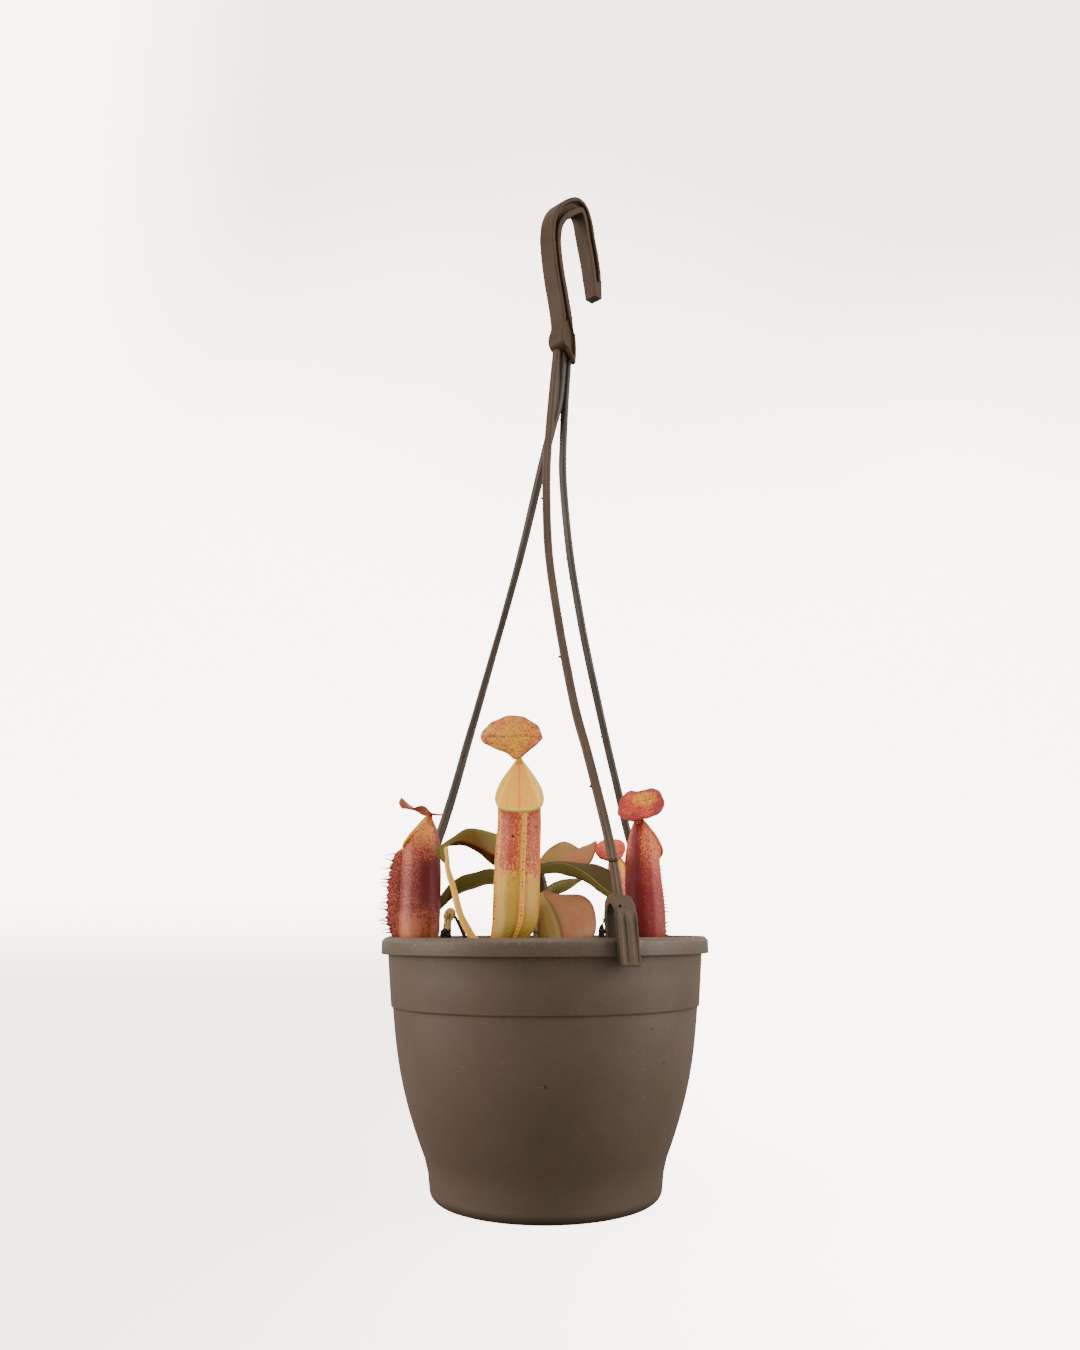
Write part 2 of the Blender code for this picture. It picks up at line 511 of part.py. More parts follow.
def hook_section(outer, inner, width):
    """An I section: (across the plane, in the plane)."""
    w, k, a, b = width / 2, WEB / 2, FLANGE - outer, inner - FLANGE
    return [(-w, -outer), (w, -outer), (w, a), (k, a), (k, b), (w, b), (w, inner), (-w, inner), (-w, b),
            (-k, b), (-k, a), (-w, a)]


def hook_place(along, across, height):
    """A point from its place along the hook's plane, its distance from that plane and its height."""
    cos, sin = math.cos(HOOK_HEADING), math.sin(HOOK_HEADING)
    return np.array([HOOK_FOOT[0] + along * cos + across * sin, HOOK_FOOT[1] + along * sin - across * cos, height])


def hook_plate(name, outline, low, high):
    """A flat plate in the hook's plane, between two distances from it."""
    rings = [[hook_place(s, across, z) for s, z in outline] for across in (low, high)]
    return rings_to_solid(name, rings, "hanger_plastic", smooth=False)


def make_hook():
    """An I-section hook in one upright plane, with a hub at its foot that holds the strands."""
    line = smooth_line(HOOK_LINE, 31)
    rings = []
    for tangent, (s, z, outer, inner, width) in zip(np.gradient(line[:, :2], axis=0), line):
        tangent = tangent / np.linalg.norm(tangent)
        rings.append([hook_place(s + b * tangent[1], a, z - b * tangent[0])
                      for a, b in hook_section(outer, inner, width)])
    hook = rings_to_solid("hanger_hook", rings, "hanger_plastic", smooth=False)
    half = HOOK_WIDTH / 2
    hub = hook_plate("hub", HUB, -half - 0.1, half + 0.1)
    lip = hook_plate("lip", HUB_LIP, 2.6, half + 0.2)
    tip = hook_plate("tip", TIP_BLOCK, -3.2, 3.2)
    combine(hook, [hub, lip, tip], "UNION")
    return combine(hook, [hook_plate("pocket", HUB_POCKET, half - 1.6, half + 2)], "DIFFERENCE")


# ---- plant

def blade(name, stations, finish, along=17, across=(-1, -0.6, -0.16, 0, 0.16, 0.6, 1)):
    """A thin closed leaf blade through (near edge, midrib, far edge) stations, with its midrib raised."""
    near, middle, far = (smooth_line([s[i] for s in stations], along) for i in range(3))
    grid = np.array([middle + v * (far - near) / 2 + v * v * ((near + far) / 2 - middle) for v in across])
    grid = grid.transpose(1, 0, 2)
    normal = np.cross(np.gradient(grid, axis=0), np.gradient(grid, axis=1))
    normal /= np.linalg.norm(normal, axis=2, keepdims=True) + 1e-9
    if normal[len(grid) // 2, len(across) // 2, 2] < 0:
        normal = -normal
    narrow = np.minimum(np.linalg.norm(far - middle, axis=1), np.linalg.norm(near - middle, axis=1))
    freedom = np.clip(narrow / 4, 0, 1)[:, None, None]
    normal = freedom * normal + (1 - freedom) * normal.mean(axis=1, keepdims=True)
    normal /= np.linalg.norm(normal, axis=2, keepdims=True) + 1e-9
    rib = np.array([max(0.0, 1 - abs(v) / 0.3) for v in across])[None, :] * np.minimum(1, narrow / 3)[:, None]
    upper = grid + normal * LEAF_THICKNESS / 2
    lower = grid - normal * (LEAF_THICKNESS / 2 + MIDRIB * rib)[..., None]
    rows, columns = grid.shape[:2]
    points = [*upper.reshape(-1, 3), *lower.reshape(-1, 3)]
    half = rows * columns
    faces = []
    for i in range(rows - 1):
        for j in range(columns - 1):
            a, b, c, d = (i * columns + j, i * columns + j + 1, (i + 1) * columns + j + 1, (i + 1) * columns + j)
            faces += [(a, b, c), (a, c, d), (half + a, half + c, half + b), (half + a, half + d, half + c)]
    border = ([(0, j) for j in range(columns - 1)] + [(i, columns - 1) for i in range(rows - 1)]
              + [(rows - 1, j) for j in range(columns - 1, 0, -1)] + [(i, 0) for i in range(rows - 1, 0, -1)])
    ring = [i * columns + j for i, j in border]
    for a, b in zip(ring, ring[1:] + ring[:1]):
        faces += [(a, half + a, half + b), (a, half + b, b)]
    return solid(name, points, faces, finish)


def make_leaf(name, shape):
    finish = "leaf_blush" if shape["tendril"] is None else "leaf_green"
    leaf = blade(name, shape["stations"], finish)
    if shape["tendril"] is None:
        return leaf
    line = smooth_line(shape["tendril"], 3 * len(shape["tendril"]))
    return combine(leaf, [tube("tendril", line, shape["tendril_radius"], finish, sides=6)], "UNION")


def cup_angles():
    """Angles round a cup from its front, closer together at the two ribs."""
    half = [0, math.degrees(RIB_ANGLE) - 7, math.degrees(RIB_ANGLE), math.degrees(RIB_ANGLE) + 7, 48, 70, 92,
            114, 136, 160]
    return np.radians(half + [180] + [360 - a for a in half[:0:-1]])


def rib_rise(shape, height):
    """How far the front ribs stand out at a height."""
    return float(np.interp(height, *zip(*shape["rib"])))


def cup_rings(shape, angles):
    """Rings of the closed cup: up its outside, over the lip and down its inside to the floor."""
    stations = np.array(shape["stations"], float)
    front_height, peak_height, front_reach, peak_reach, half_width, point = shape["lip"]
    facing = np.array([*shape["facing"], 0]) / math.hypot(*shape["facing"])
    side = np.array([-facing[1], facing[0], 0])
    up = np.array([0, 0, 1.0])
    top = stations[-1]
    axis = np.array([top[1], top[2], 0])
    share = (1 - np.cos(angles)) / 2
    lip_height = front_height + (peak_height - front_height) * share ** 1.35
    lip_reach = front_reach + (peak_reach - front_reach) * (lip_height - front_height) / (peak_height - front_height)
    lip_side = half_width * np.sign(np.sin(angles)) * abs(np.sin(angles)) ** np.interp(share, [0.4, 1], [1, point])
    lip_side *= 1.2 - (0.4 + 0.5 * point) * share ** 1.6
    lip = axis + lip_reach[:, None] * facing + lip_side[:, None] * side + lip_height[:, None] * up
    slope = math.atan2(peak_height - front_height, front_reach - peak_reach)
    normal = facing * math.sin(slope) + up * math.cos(slope)
    centre = axis + facing * (front_reach * 0.55 + peak_reach * 0.45) + up * (
        front_height * 0.55 + peak_height * 0.45)
    spread = lip - centre
    spread -= (spread @ normal)[:, None] * normal
    spread /= np.linalg.norm(spread, axis=1, keepdims=True)

    def wall(height, inset, ribbed):
        row = [float(np.interp(height, stations[:, 0], stations[:, i])) for i in (1, 2, 3)]
        radius = np.full(len(angles), row[2] - inset)
        if ribbed:
            off = np.minimum(abs(angles - RIB_ANGLE), abs(2 * math.pi - angles - RIB_ANGLE))
            radius = radius + rib_rise(shape, height) * np.maximum(0, 1 - off / math.radians(7))
        middle = np.array([row[0], row[1], height])
        return middle + radius[:, None] * (np.cos(angles)[:, None] * facing + np.sin(angles)[:, None] * side)

    def shoulder(t, inset):
        """Between the top of the straight wall and the lip, bulging outwards."""
        low = wall(top[0], inset, inset == 0)
        high = lip - spread * inset
        handle = low + up * 0.62 * (lip_height - top[0])[:, None]
        return (1 - t) ** 2 * low + 2 * (1 - t) * t * handle + t * t * high

    body = [*stations[1:3, 0], *np.linspace(stations[3, 0], top[0], 6)]
    rings = [wall(stations[0, 0], 0, False)]
    rings += [wall(h, 0, True) for h in body]
    rings += [shoulder(t, 0) for t in (0.25, 0.5, 0.72, 0.9)]
    for turn in np.radians([-30, 30, 90, 150]):
        rings.append(lip + LIP_RADIUS * (math.cos(turn) * spread + math.sin(turn) * normal))
    rings += [shoulder(t, CUP_WALL) for t in (0.88, 0.66, 0.36)]
    floor = stations[0, 0] + 0.45 * (front_height - stations[0, 0])
    rings += [wall(h, CUP_WALL, False) for h in np.linspace(top[0], floor, 3)]
    rings.append(wall(floor - 3, 0.55 * top[3], False))
    return rings


def make_lid(shape, finish):
    """A thin domed plate with a waved edge."""
    middle = np.array(shape["middle"], float)
    long, short = (np.array(shape[k], float) / np.linalg.norm(shape[k]) for k in ("long", "short"))
    normal = np.cross(long, short)
    points = shape["outline"]
    outline = smooth_line([*points, points[0]], 21)[:-1]
    rings = []
    for side, scales in ((-1, (0.35, 0.7, 1.0)), (1, (1.0, 0.7, 0.35))):
        for scale in scales:
            bow = shape["dome"] * (1 - scale * scale) + 0.5 * side * LID_THICKNESS
            rings.append([middle + long * a * scale + short * b * scale + normal * (bow + rise * scale ** 2)
                          for a, b, rise in outline])
    return rings_to_solid("lid", rings, finish)


def make_hairs(shape, finish):
    """Bristles that stand out from the two ribs, as sharp three-sided spikes."""
    facing = np.array([*shape["facing"], 0]) / math.hypot(*shape["facing"])
    side = np.array([-facing[1], facing[0], 0])
    stations = np.array(shape["stations"], float)
    found = []
    for sign in (-1, 1):
        out = math.cos(RIB_ANGLE) * facing + sign * math.sin(RIB_ANGLE) * side
        along = np.cross(out, (0, 0, 1.0))
        for i, height in enumerate(np.arange(shape["hairs"][0], shape["hairs"][1], HAIR_STEP)):
            x, y, radius = (float(np.interp(height, stations[:, 0], stations[:, k])) for k in (1, 2, 3))
            root = np.array([x, y, height]) + out * (radius + rib_rise(shape, height) - 0.9)
            lift = np.array([0, 0, 0.25 * math.sin(2.3 * i)])
            tip = root + (out + lift) * (HAIR_LENGTH + 0.9 + 0.3 * math.sin(1.7 * i))
            ring = [root + 0.55 * (math.cos(t) * along + math.sin(t) * np.array([0, 0, 1.0]))
                    for t in np.radians([90, 210, 330])]
            end = [tip + 0.12 * (p - root) / 0.55 for p in ring]
            found.append(rings_to_solid("hair", [ring, end], finish, smooth=False))
    return found


def make_pitcher(name, shape, lid, finish):
    rings = cup_rings(shape, cup_angles())
    cup = rings_to_solid(name, rings, finish)
    peak = np.array(max((p for ring in rings for p in ring), key=lambda p: p[2]))
    lid_normal = np.cross(lid["long"], lid["short"])
    reach = np.array(lid["middle"]) + lid_normal * lid["dome"] - peak
    neck = tube("neck", [peak - np.array([0, 0, 2.8]), peak + 0.1 * reach, peak + 0.85 * reach],
                [1.5, 1.3, 0.8], finish, sides=8)
    hairs = make_hairs(shape, finish) if shape["hairs"] else []
    return combine(cup, [neck, make_lid(lid, finish), *hairs], "UNION")


def make_stem():
    line = smooth_line(STEM_LINE, 14)
    return tube("plant_stem", line, STEM_TAPER, "stem_brown", sides=10)


def make_dry_sprig():
    """A withered flower stub: a thin stalk that leans on a crumpled husk."""
    stalk = tube("dry_sprig", smooth_line([(-35.4, -13, 107.6), (-36.4, -12.6, 112), (-39, -11.2, 118),
                                           (-41.6, -10.2, 121.6), (-43.6, -10, 122.4)], 9),
                 [0.7, 0.5], "dry_husk", sides=6)
    rings = []
    for t in np.linspace(0.04, 0.96, 9):
        radius = 2.3 * math.sin(math.pi * t) * (0.75 + 0.35 * math.sin(9 * t))
        centre = np.array([-43.2 - 1.1 * t, -10, 123.2 - 11.6 * t])
        rings.append([centre + radius * (1 + 0.22 * math.sin(3 * a + 7 * t)) * np.array([math.cos(a), math.sin(a), 0])
                      for a in np.arange(9) * 2 * math.pi / 9])
    return combine(stalk, [rings_to_solid("husk", rings, "dry_husk")], "UNION")


def make_sprout():
    """A dark dead bud with a thread on it."""
    bud = tube("dead_bud", [(26.1, -10, 107.2), (26, -10, 111), (25.9, -10, 114.2), (26.2, -10.2, 116.4)],
               [1.3, 1.5, 1.2, 0.5], "soil", sides=7)
    thread = tube("thread", [(26.1, -10.1, 115.8), (26.9, -10.3, 118), (26.4, -10.4, 119.8)], [0.35, 0.3], "soil",
                  sides=5)
    return combine(bud, [thread], "UNION")


def main():
    for old in list(bpy.data.objects):
        bpy.data.objects.remove(old)
    make_pot()
    make_soil()
    make_hook()
    for side, strand in STRANDS.items():
        bearing = math.radians(strand["bearing"])
        make_strand("hanger_strand_" + side, strand["line"], bearing)
        make_clip("hanger_clip_" + side, bearing, strand["line"][-1])
    make_stem()
    for side, shape in LEAVES.items():
        make_leaf("leaf_" + side, shape)
    for side, shape in PITCHERS.items():
        finish = "pitcher_gold" if side == "front" else "pitcher_red"
        make_pitcher("pitcher_" + side, shape, LIDS[side], finish)
    make_dry_sprig()
    make_sprout()


main()
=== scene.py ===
import math

import bmesh
import bpy
import numpy as np
from mathutils import Matrix, Vector, noise


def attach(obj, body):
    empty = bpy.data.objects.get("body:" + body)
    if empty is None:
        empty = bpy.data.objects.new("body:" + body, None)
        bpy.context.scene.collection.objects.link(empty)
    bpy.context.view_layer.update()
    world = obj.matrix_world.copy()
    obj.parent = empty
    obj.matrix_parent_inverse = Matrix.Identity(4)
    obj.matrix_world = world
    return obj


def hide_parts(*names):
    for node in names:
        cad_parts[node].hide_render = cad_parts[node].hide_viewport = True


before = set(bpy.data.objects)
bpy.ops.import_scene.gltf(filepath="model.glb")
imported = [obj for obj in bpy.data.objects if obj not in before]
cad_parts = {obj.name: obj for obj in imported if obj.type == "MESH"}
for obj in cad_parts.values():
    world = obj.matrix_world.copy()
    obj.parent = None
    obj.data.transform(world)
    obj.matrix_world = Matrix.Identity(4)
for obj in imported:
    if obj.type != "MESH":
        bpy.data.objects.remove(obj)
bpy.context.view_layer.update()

# Sizes below are in millimetres; meshes are made in metres.
mm = 0.001


# ---- maths on sockets, for shaders and for geometry trees

class Wire:
    def __init__(self, maker, socket):
        self.maker, self.socket = maker, socket

    def maths(self, operation, *values, clamp=False):
        settings = {"operation": operation, "use_clamp": clamp}
        return self.maker.node("ShaderNodeMath", settings, dict(enumerate((self, *values))))

    def __add__(self, other): return self.maths("ADD", other)
    def __radd__(self, other): return self.maths("ADD", other)
    def __sub__(self, other): return self.maths("SUBTRACT", other)
    def __rsub__(self, other): return self.maths("MULTIPLY_ADD", -1.0, other)
    def __mul__(self, other): return self.maths("MULTIPLY", other)
    def __rmul__(self, other): return self.maths("MULTIPLY", other)
    def __truediv__(self, other): return self.maths("DIVIDE", other)
    def __pow__(self, other): return self.maths("POWER", other)
    def __neg__(self): return self.maths("MULTIPLY", -1.0)

    def size(self): return self.maths("ABSOLUTE")
    def sine(self): return self.maths("SINE")
    def cosine(self): return self.maths("COSINE")
    def clip(self): return self.maths("ADD", 0.0, clamp=True)

    def step(self, low, high):  # 0 below low, 1 above high, smooth between; low may be the greater
        values = {0: self, 1: low, 2: high, 3: 0.0, 4: 1.0}
        return self.maker.node("ShaderNodeMapRange", {"interpolation_type": "SMOOTHSTEP"}, values)

    def scaled(self, x, y=None, z=None):
        factors = (x, x if y is None else y, x if z is None else z)
        return self.maker.node("ShaderNodeVectorMath", {"operation": "MULTIPLY"}, {0: self, 1: factors})

    def moved(self, other):
        return self.maker.node("ShaderNodeVectorMath", {"operation": "ADD"}, {0: self, 1: other})

    def part(self, letter):
        split = self.maker.node("ShaderNodeSeparateXYZ", {}, {0: self})
        return Wire(self.maker, split.socket.node.outputs[letter])


class TreeMaker:
    def __init__(self, tree):
        self.tree = tree

    def node(self, kind, settings=None, inputs=None, output=0):
        made = self.tree.nodes.new(kind)
        for key, value in (settings or {}).items():
            if key == "stops":
                self.setStops(made.color_ramp, value)
            else:
                setattr(made, key, value)
        for key, value in (inputs or {}).items():
            self.put(made.inputs[key], value)
        return Wire(self, made.outputs[output])

    def put(self, socket, value):
        if isinstance(value, Wire):
            self.tree.links.new(value.socket, socket)
        else:
            socket.default_value = value

    def setStops(self, band, stops):
        while len(band.elements) < len(stops):
            band.elements.new(0.5)
        for element, (place, colour) in zip(band.elements, stops):
            element.position = place
            element.color = colour


class Finish(TreeMaker):
    def __init__(self, name, colour=None, **fixed):
        self.colour = colour
        self.material = bpy.data.materials.new(name)
        self.material.use_nodes = True
        super().__init__(self.material.node_tree)
        self.shader = self.tree.nodes["Principled BSDF"]
        for key, value in fixed.items():
            self.shader.inputs[key.replace("_", " ")].default_value = value
        coordinates = self.tree.nodes.new("ShaderNodeTexCoord")
        self.place = Wire(self, coordinates.outputs["Object"]).scaled(1 / mm)  # in millimetres

    def speckle(self, scale, detail=3.0, roughness=0.55, place=None, distortion=0.0):
        inputs = {"Vector": place or self.place, "Scale": scale, "Detail": detail, "Roughness": roughness,
                  "Distortion": distortion}
        return self.node("ShaderNodeTexNoise", {}, inputs)

    def cells(self, scale, place=None, feature="F1", randomness=1.0):
        inputs = {"Vector": place or self.place, "Scale": scale, "Randomness": randomness}
        return self.node("ShaderNodeTexVoronoi", {"feature": feature}, inputs)

    def attribute(self, name):
        return self.node("ShaderNodeAttribute", {"attribute_name": name}, {}, output=2)

    def mix(self, factor, first, second, blend="MIX"):
        settings = {"data_type": "RGBA", "blend_type": blend}
        return self.node("ShaderNodeMix", settings, {0: factor, 6: first, 7: second}, output=2)

    def ramp(self, factor, *stops):
        return self.node("ShaderNodeValToRGB", {"stops": stops}, {0: factor})

    def paint(self, amount, shade):  # one more layer over what is there
        self.colour = self.mix(amount, self.colour, shade)

    def bump(self, height, strength=0.5, distance=0.2):
        inputs = {"Height": height, "Strength": strength, "Distance": distance * mm}
        return self.node("ShaderNodeBump", {}, inputs)

    def finished(self, **looks):
        for key, value in {"Base_Color": self.colour, **looks}.items():
            self.put(self.shader.inputs[key.replace("_", " ")], value)
        return self.material


# Finishes are named by the colour, 0 to 255, that they show on the rendered picture. The film look of the
# render greys and darkens colours, and tint undoes that for a surface in the studio's light.
shownLevels = (0.0, 0.06, 0.12, 0.18, 0.25, 0.33, 0.42, 0.5, 0.58, 0.66, 0.74, 0.82, 0.9, 0.95)
lightLevels = (0.0, 0.0081, 0.0188, 0.0343, 0.0585, 0.0946, 0.1485, 0.2146, 0.3155, 0.4851, 0.802, 1.4898,
               3.3656, 6.635)
spreadBefore = np.array([[0.580, 0.333, 0.087], [0.068, 1.032, -0.100], [0.093, 0.202, 0.705]])
spreadAfter = np.array([[1.946, -0.605, -0.341], [-0.165, 1.144, 0.021], [-0.206, -0.214, 1.420]])
studioLight = 1.7


def linear(shown):
    return np.where(shown <= 0.04045, shown / 12.92, ((shown + 0.055) / 1.055) ** 2.4)


def tint(red, green, blue, light=studioLight):
    shown = np.array((red, green, blue)) / 255
    while True:
        needed = np.exp(np.interp(spreadBefore @ linear(shown), linear(np.array(shownLevels[1:])),
                                  np.log(lightLevels[1:])))
        colour = np.maximum(spreadAfter @ needed / light, 0.002)
        if colour.max() <= 0.9:
            return (*map(float, colour), 1.0)
        shown = shown * 0.985  # too bright for any surface, so a little darker


# ---- meshes

def link(name, data):
    made = bpy.data.objects.new(name, data)
    bpy.context.scene.collection.objects.link(made)
    return made


def meshPiece(name, points, faces, material, attributes=None):
    mesh = bpy.data.meshes.new(name)
    mesh.from_pydata((np.asarray(points) * mm).tolist(), [], faces)
    mesh.update()
    if material:
        mesh.materials.append(material)
    for key, values in (attributes or {}).items():
        layer = mesh.attributes.new(key, "FLOAT", "POINT")
        layer.data.foreach_set("value", np.asarray(values, np.float32).ravel())
    mesh.shade_smooth()
    return link(name, mesh)


def faceOut(piece):
    shape = bmesh.new()
    shape.from_mesh(piece.data)
    bmesh.ops.recalc_face_normals(shape, faces=shape.faces)
    if shape.calc_volume(signed=True) < 0:
        bmesh.ops.reverse_faces(shape, faces=shape.faces)
    shape.to_mesh(piece.data)
    shape.free()
    return piece


def ringPiece(name, rings, material, attributes=None):  # a closed skin through the rings, with capped ends
    rows, count = len(rings), len(rings[0])
    last = (rows - 1) * count
    low, high = np.mean(rings[0], axis=0), np.mean(rings[-1], axis=0)
    points = np.vstack([np.asarray(rings, float).reshape(-1, 3), low, high])
    faces = [(a, b, b + count, a + count) for i in range(0, last, count)
             for a, b in ((i + j, i + (j + 1) % count) for j in range(count))]
    for j in range(count):
        k = (j + 1) % count
        faces += [(rows * count, k, j), (rows * count + 1, last + j, last + k)]
    attributes = {key: np.append(np.ravel(v), [np.mean(v[0]), np.mean(v[-1])])
                  for key, v in (attributes or {}).items()}
    return faceOut(meshPiece(name, points, faces, material, attributes))


def smoothLine(points, steps):
    line = np.asarray(points, float)
    ends = np.vstack([2 * line[0] - line[1], line, 2 * line[-1] - line[-2]])
    place = np.linspace(0, len(line) - 1, steps)
    i = np.minimum(place.astype(int), len(line) - 2)
    t = (place - i)[:, None]
    a, b, c, d = ends[i], ends[i + 1], ends[i + 2], ends[i + 3]
    return 0.5 * (2 * b + (c - a) * t + (2 * a - 5 * b + 4 * c - d) * t ** 2 + (3 * b - a - 3 * c + d) * t ** 3)


def evenLine(line, steps):
    gone = np.append(0, np.cumsum(np.linalg.norm(np.diff(line, axis=0), axis=1)))
    return np.array([np.interp(np.linspace(0, gone[-1], steps), gone, axis) for axis in np.transpose(line)]).T


def unit(vectors):
    return vectors / (np.linalg.norm(vectors, axis=-1, keepdims=True) + 1e-9)


def circleTurns(count):
    return np.arange(count) * 2 * math.pi / count


def circle(radius, height, count, x=0.0, y=0.0):
    turns = circleTurns(count)
    return np.array([x + radius * np.cos(turns), y + radius * np.sin(turns), np.full(count, height)]).T


def tubePiece(name, line, radii, material, sides=16, wide=None, section=None, attributes=None):
    radii = np.interp(np.linspace(0, 1, len(line)), np.linspace(0, 1, len(radii)), radii)
    tangents = unit(np.gradient(np.asarray(line, float), axis=0))
    section = circle(1, 0, sides) if section is None else section
    side = np.array([1.0, 0.013, 0.0])
    rings = []
    for i, (centre, tangent, radius) in enumerate(zip(line, tangents, radii)):
        side = side if wide is None else wide[i]
        side = unit(side - tangent * np.dot(side, tangent))
        cross = np.cross(tangent, side)
        rings.append(centre + radius * (section[:, :1] * side + section[:, 1:2] * cross))
    if attributes is None:
        along = np.linspace(0, 1, len(line))[:, None]
        attributes = {"along": np.broadcast_to(along, (len(line), len(section)))}
    return ringPiece(name, rings, material, attributes)


def wobble(x, y, z, scale, seed=0.0):
    return noise.noise(Vector((x * scale + seed, y * scale - seed, z * scale + 2 * seed)))


def wobbles(points, scale, seed=0.0):
    found = [wobble(*point, scale, seed) for point in np.reshape(points, (-1, 3))]
    return np.reshape(found, np.shape(points)[:-1])


def fuse(piece, others, operation="UNION"):
    for other in others:
        step = piece.modifiers.new("join", "BOOLEAN")
        step.operation, step.solver, step.object = operation, "EXACT", other
    bakeModifiers(piece)
    for other in others:
        bpy.data.objects.remove(other)


def bakeModifiers(piece):
    bpy.context.view_layer.update()
    graph = bpy.context.evaluated_depsgraph_get()
    old, result = piece.data, bpy.data.meshes.new_from_object(piece.evaluated_get(graph))
    piece.modifiers.clear()
    piece.data = result
    name = old.name
    bpy.data.meshes.remove(old)
    result.name = name


def moulded(piece, voxel, smoothing):  # one closed skin with softened edges, as an injection moulding has
    remesh = piece.modifiers.new("skin", "REMESH")
    remesh.mode, remesh.voxel_size, remesh.use_smooth_shade = "VOXEL", voxel * mm, True
    soften = piece.modifiers.new("soften", "SMOOTH")
    soften.factor, soften.iterations = 0.5, smoothing
    material = piece.data.materials[0]
    bakeModifiers(piece)
    piece.data.materials.clear()
    piece.data.materials.append(material)
    faceOut(piece)


def join(name, pieces):  # several closed bodies as one piece, each keeping its finish and its values
    keys = sorted({layer.name for piece in pieces for layer in piece.data.attributes
                   if layer.domain == "POINT" and layer.data_type == "FLOAT"})
    shape, slots, picked = bmesh.new(), [], []
    values = {key: [] for key in keys}
    for piece in pieces:
        shape.from_mesh(piece.data)
        for material in piece.data.materials:
            if material not in slots:
                slots.append(material)
        picked += [slots.index(piece.data.materials[face.material_index]) for face in piece.data.polygons]
        for key in keys:
            layer = piece.data.attributes.get(key)
            found = np.zeros(len(piece.data.vertices), np.float32)
            if layer:
                layer.data.foreach_get("value", found)
            values[key].append(found)
    joined = pieces[0]
    for piece in pieces[1:]:
        bpy.data.objects.remove(piece)
    mesh = joined.data
    shape.to_mesh(mesh)
    shape.free()
    mesh.materials.clear()
    for material in slots:
        mesh.materials.append(material)
    mesh.polygons.foreach_set("material_index", picked)
    for key in keys:
        if mesh.attributes.get(key):
            mesh.attributes.remove(mesh.attributes[key])
        mesh.attributes.new(key, "FLOAT", "POINT").data.foreach_set("value", np.concatenate(values[key]))
    joined.name = name
    return joined


def handOver(piece, slot, *nodes):
    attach(piece, "root")
    if nodes:
        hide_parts(*nodes)
    print("made", piece.name)


# ---- pot

potSizes = dict(height=111.0, rimRadius=75.0, rimSkirt=7.4, rimInner=70.8, wall=1.4, bodyTop=72.0,
                ledgeHeight=81.0, footHeight=17.5, footRadius=53.6, baseRadius=51.2, baseCorner=5.0,
                bellyLow=(65.0, 44.7), bellyHigh=(67.0, 60.2), drains=6, drainRadius=3.0, drainCircle=33.0,
                sides=216)


def roundedLine(points, radius, steps=4):
    points = np.asarray(points, float)
    found = [points[0]]
    for before, corner, after in zip(points, points[1:], points[2:]):
        toBefore, toAfter = before - corner, after - corner
        reach = min(radius, 0.45 * np.linalg.norm(toBefore), 0.45 * np.linalg.norm(toAfter))
        start, end = corner + unit(toBefore) * reach, corner + unit(toAfter) * reach
        for t in np.linspace(0, 1, steps):
            found.append((1 - t) ** 2 * start + 2 * (1 - t) * t * corner + t * t * end)
    found.append(points[-1])
    return np.array(found)


def bellyCurve(steps):
    s = potSizes
    start = np.array((s["footRadius"], s["footHeight"]))
    end = np.array((s["bodyTop"] - 2.8, s["ledgeHeight"] - 0.4))
    t = np.linspace(0, 1, steps)[:, None]
    low, high = np.array(s["bellyLow"]), np.array(s["bellyHigh"])
    return (1 - t) ** 3 * start + 3 * (1 - t) ** 2 * t * low + 3 * (1 - t) * t * t * high + t ** 3 * end


def innerRadius(height):
    s = potSizes
    wall = np.array([(s["baseRadius"], s["baseCorner"]), (52.0, 11.5), *bellyCurve(12),
                     (s["bodyTop"] - 2.0, s["ledgeHeight"]), (s["bodyTop"] - 0.9, 93.0),
                     (s["bodyTop"], s["height"] - s["rimSkirt"])])
    return float(np.interp(height, wall[:, 1], wall[:, 0])) - s["wall"]


def potProfile():
    s = potSizes
    corner = [(s["baseRadius"] - s["baseCorner"] * (1 - math.sin(a)), s["baseCorner"] * (1 - math.cos(a)))
              for a in np.radians(np.linspace(0, 90, 8))]
    underside = roundedLine([(0, 0.5), (4.4, 0.5), (4.6, 0.9), (40.6, 0.9), (41.4, 0), *corner[:1]], 0.3)
    side = [*corner[1:], (52.0, 11.5)]
    top, belly = s["height"], bellyCurve(30)
    ledge = roundedLine([*belly[-2:], (s["bodyTop"] - 2.0, s["ledgeHeight"]),
                         (s["bodyTop"] - 0.9, 93.0), (s["bodyTop"], top - s["rimSkirt"]),
                         (s["rimRadius"], top - s["rimSkirt"]), (s["rimRadius"], top - 1.6),
                         (s["rimRadius"] - 1.7, top), (s["rimInner"] + 0.3, top), (s["rimInner"], top - 1),
                         (s["rimInner"], 105)], 0.45)
    inside = [(innerRadius(z), z) for z in (102.6, 95, 80, 70, 60, 48, 38, 27, 17, 9, 4.4)]
    floor = [(inside[-1][0] - 2.6, 1.9), (0, 1.9)]
    return np.array([*underside, *side, *belly[:-2], *ledge, *inside, *floor])


def turnedPiece(name, profile, sides, material):
    turns = circleTurns(sides)
    rings = [np.array([r * np.sin(turns), -r * np.cos(turns), np.full(sides, z)]).T for r, z in profile[1:-1]]
    return ringPiece(name, rings, material)


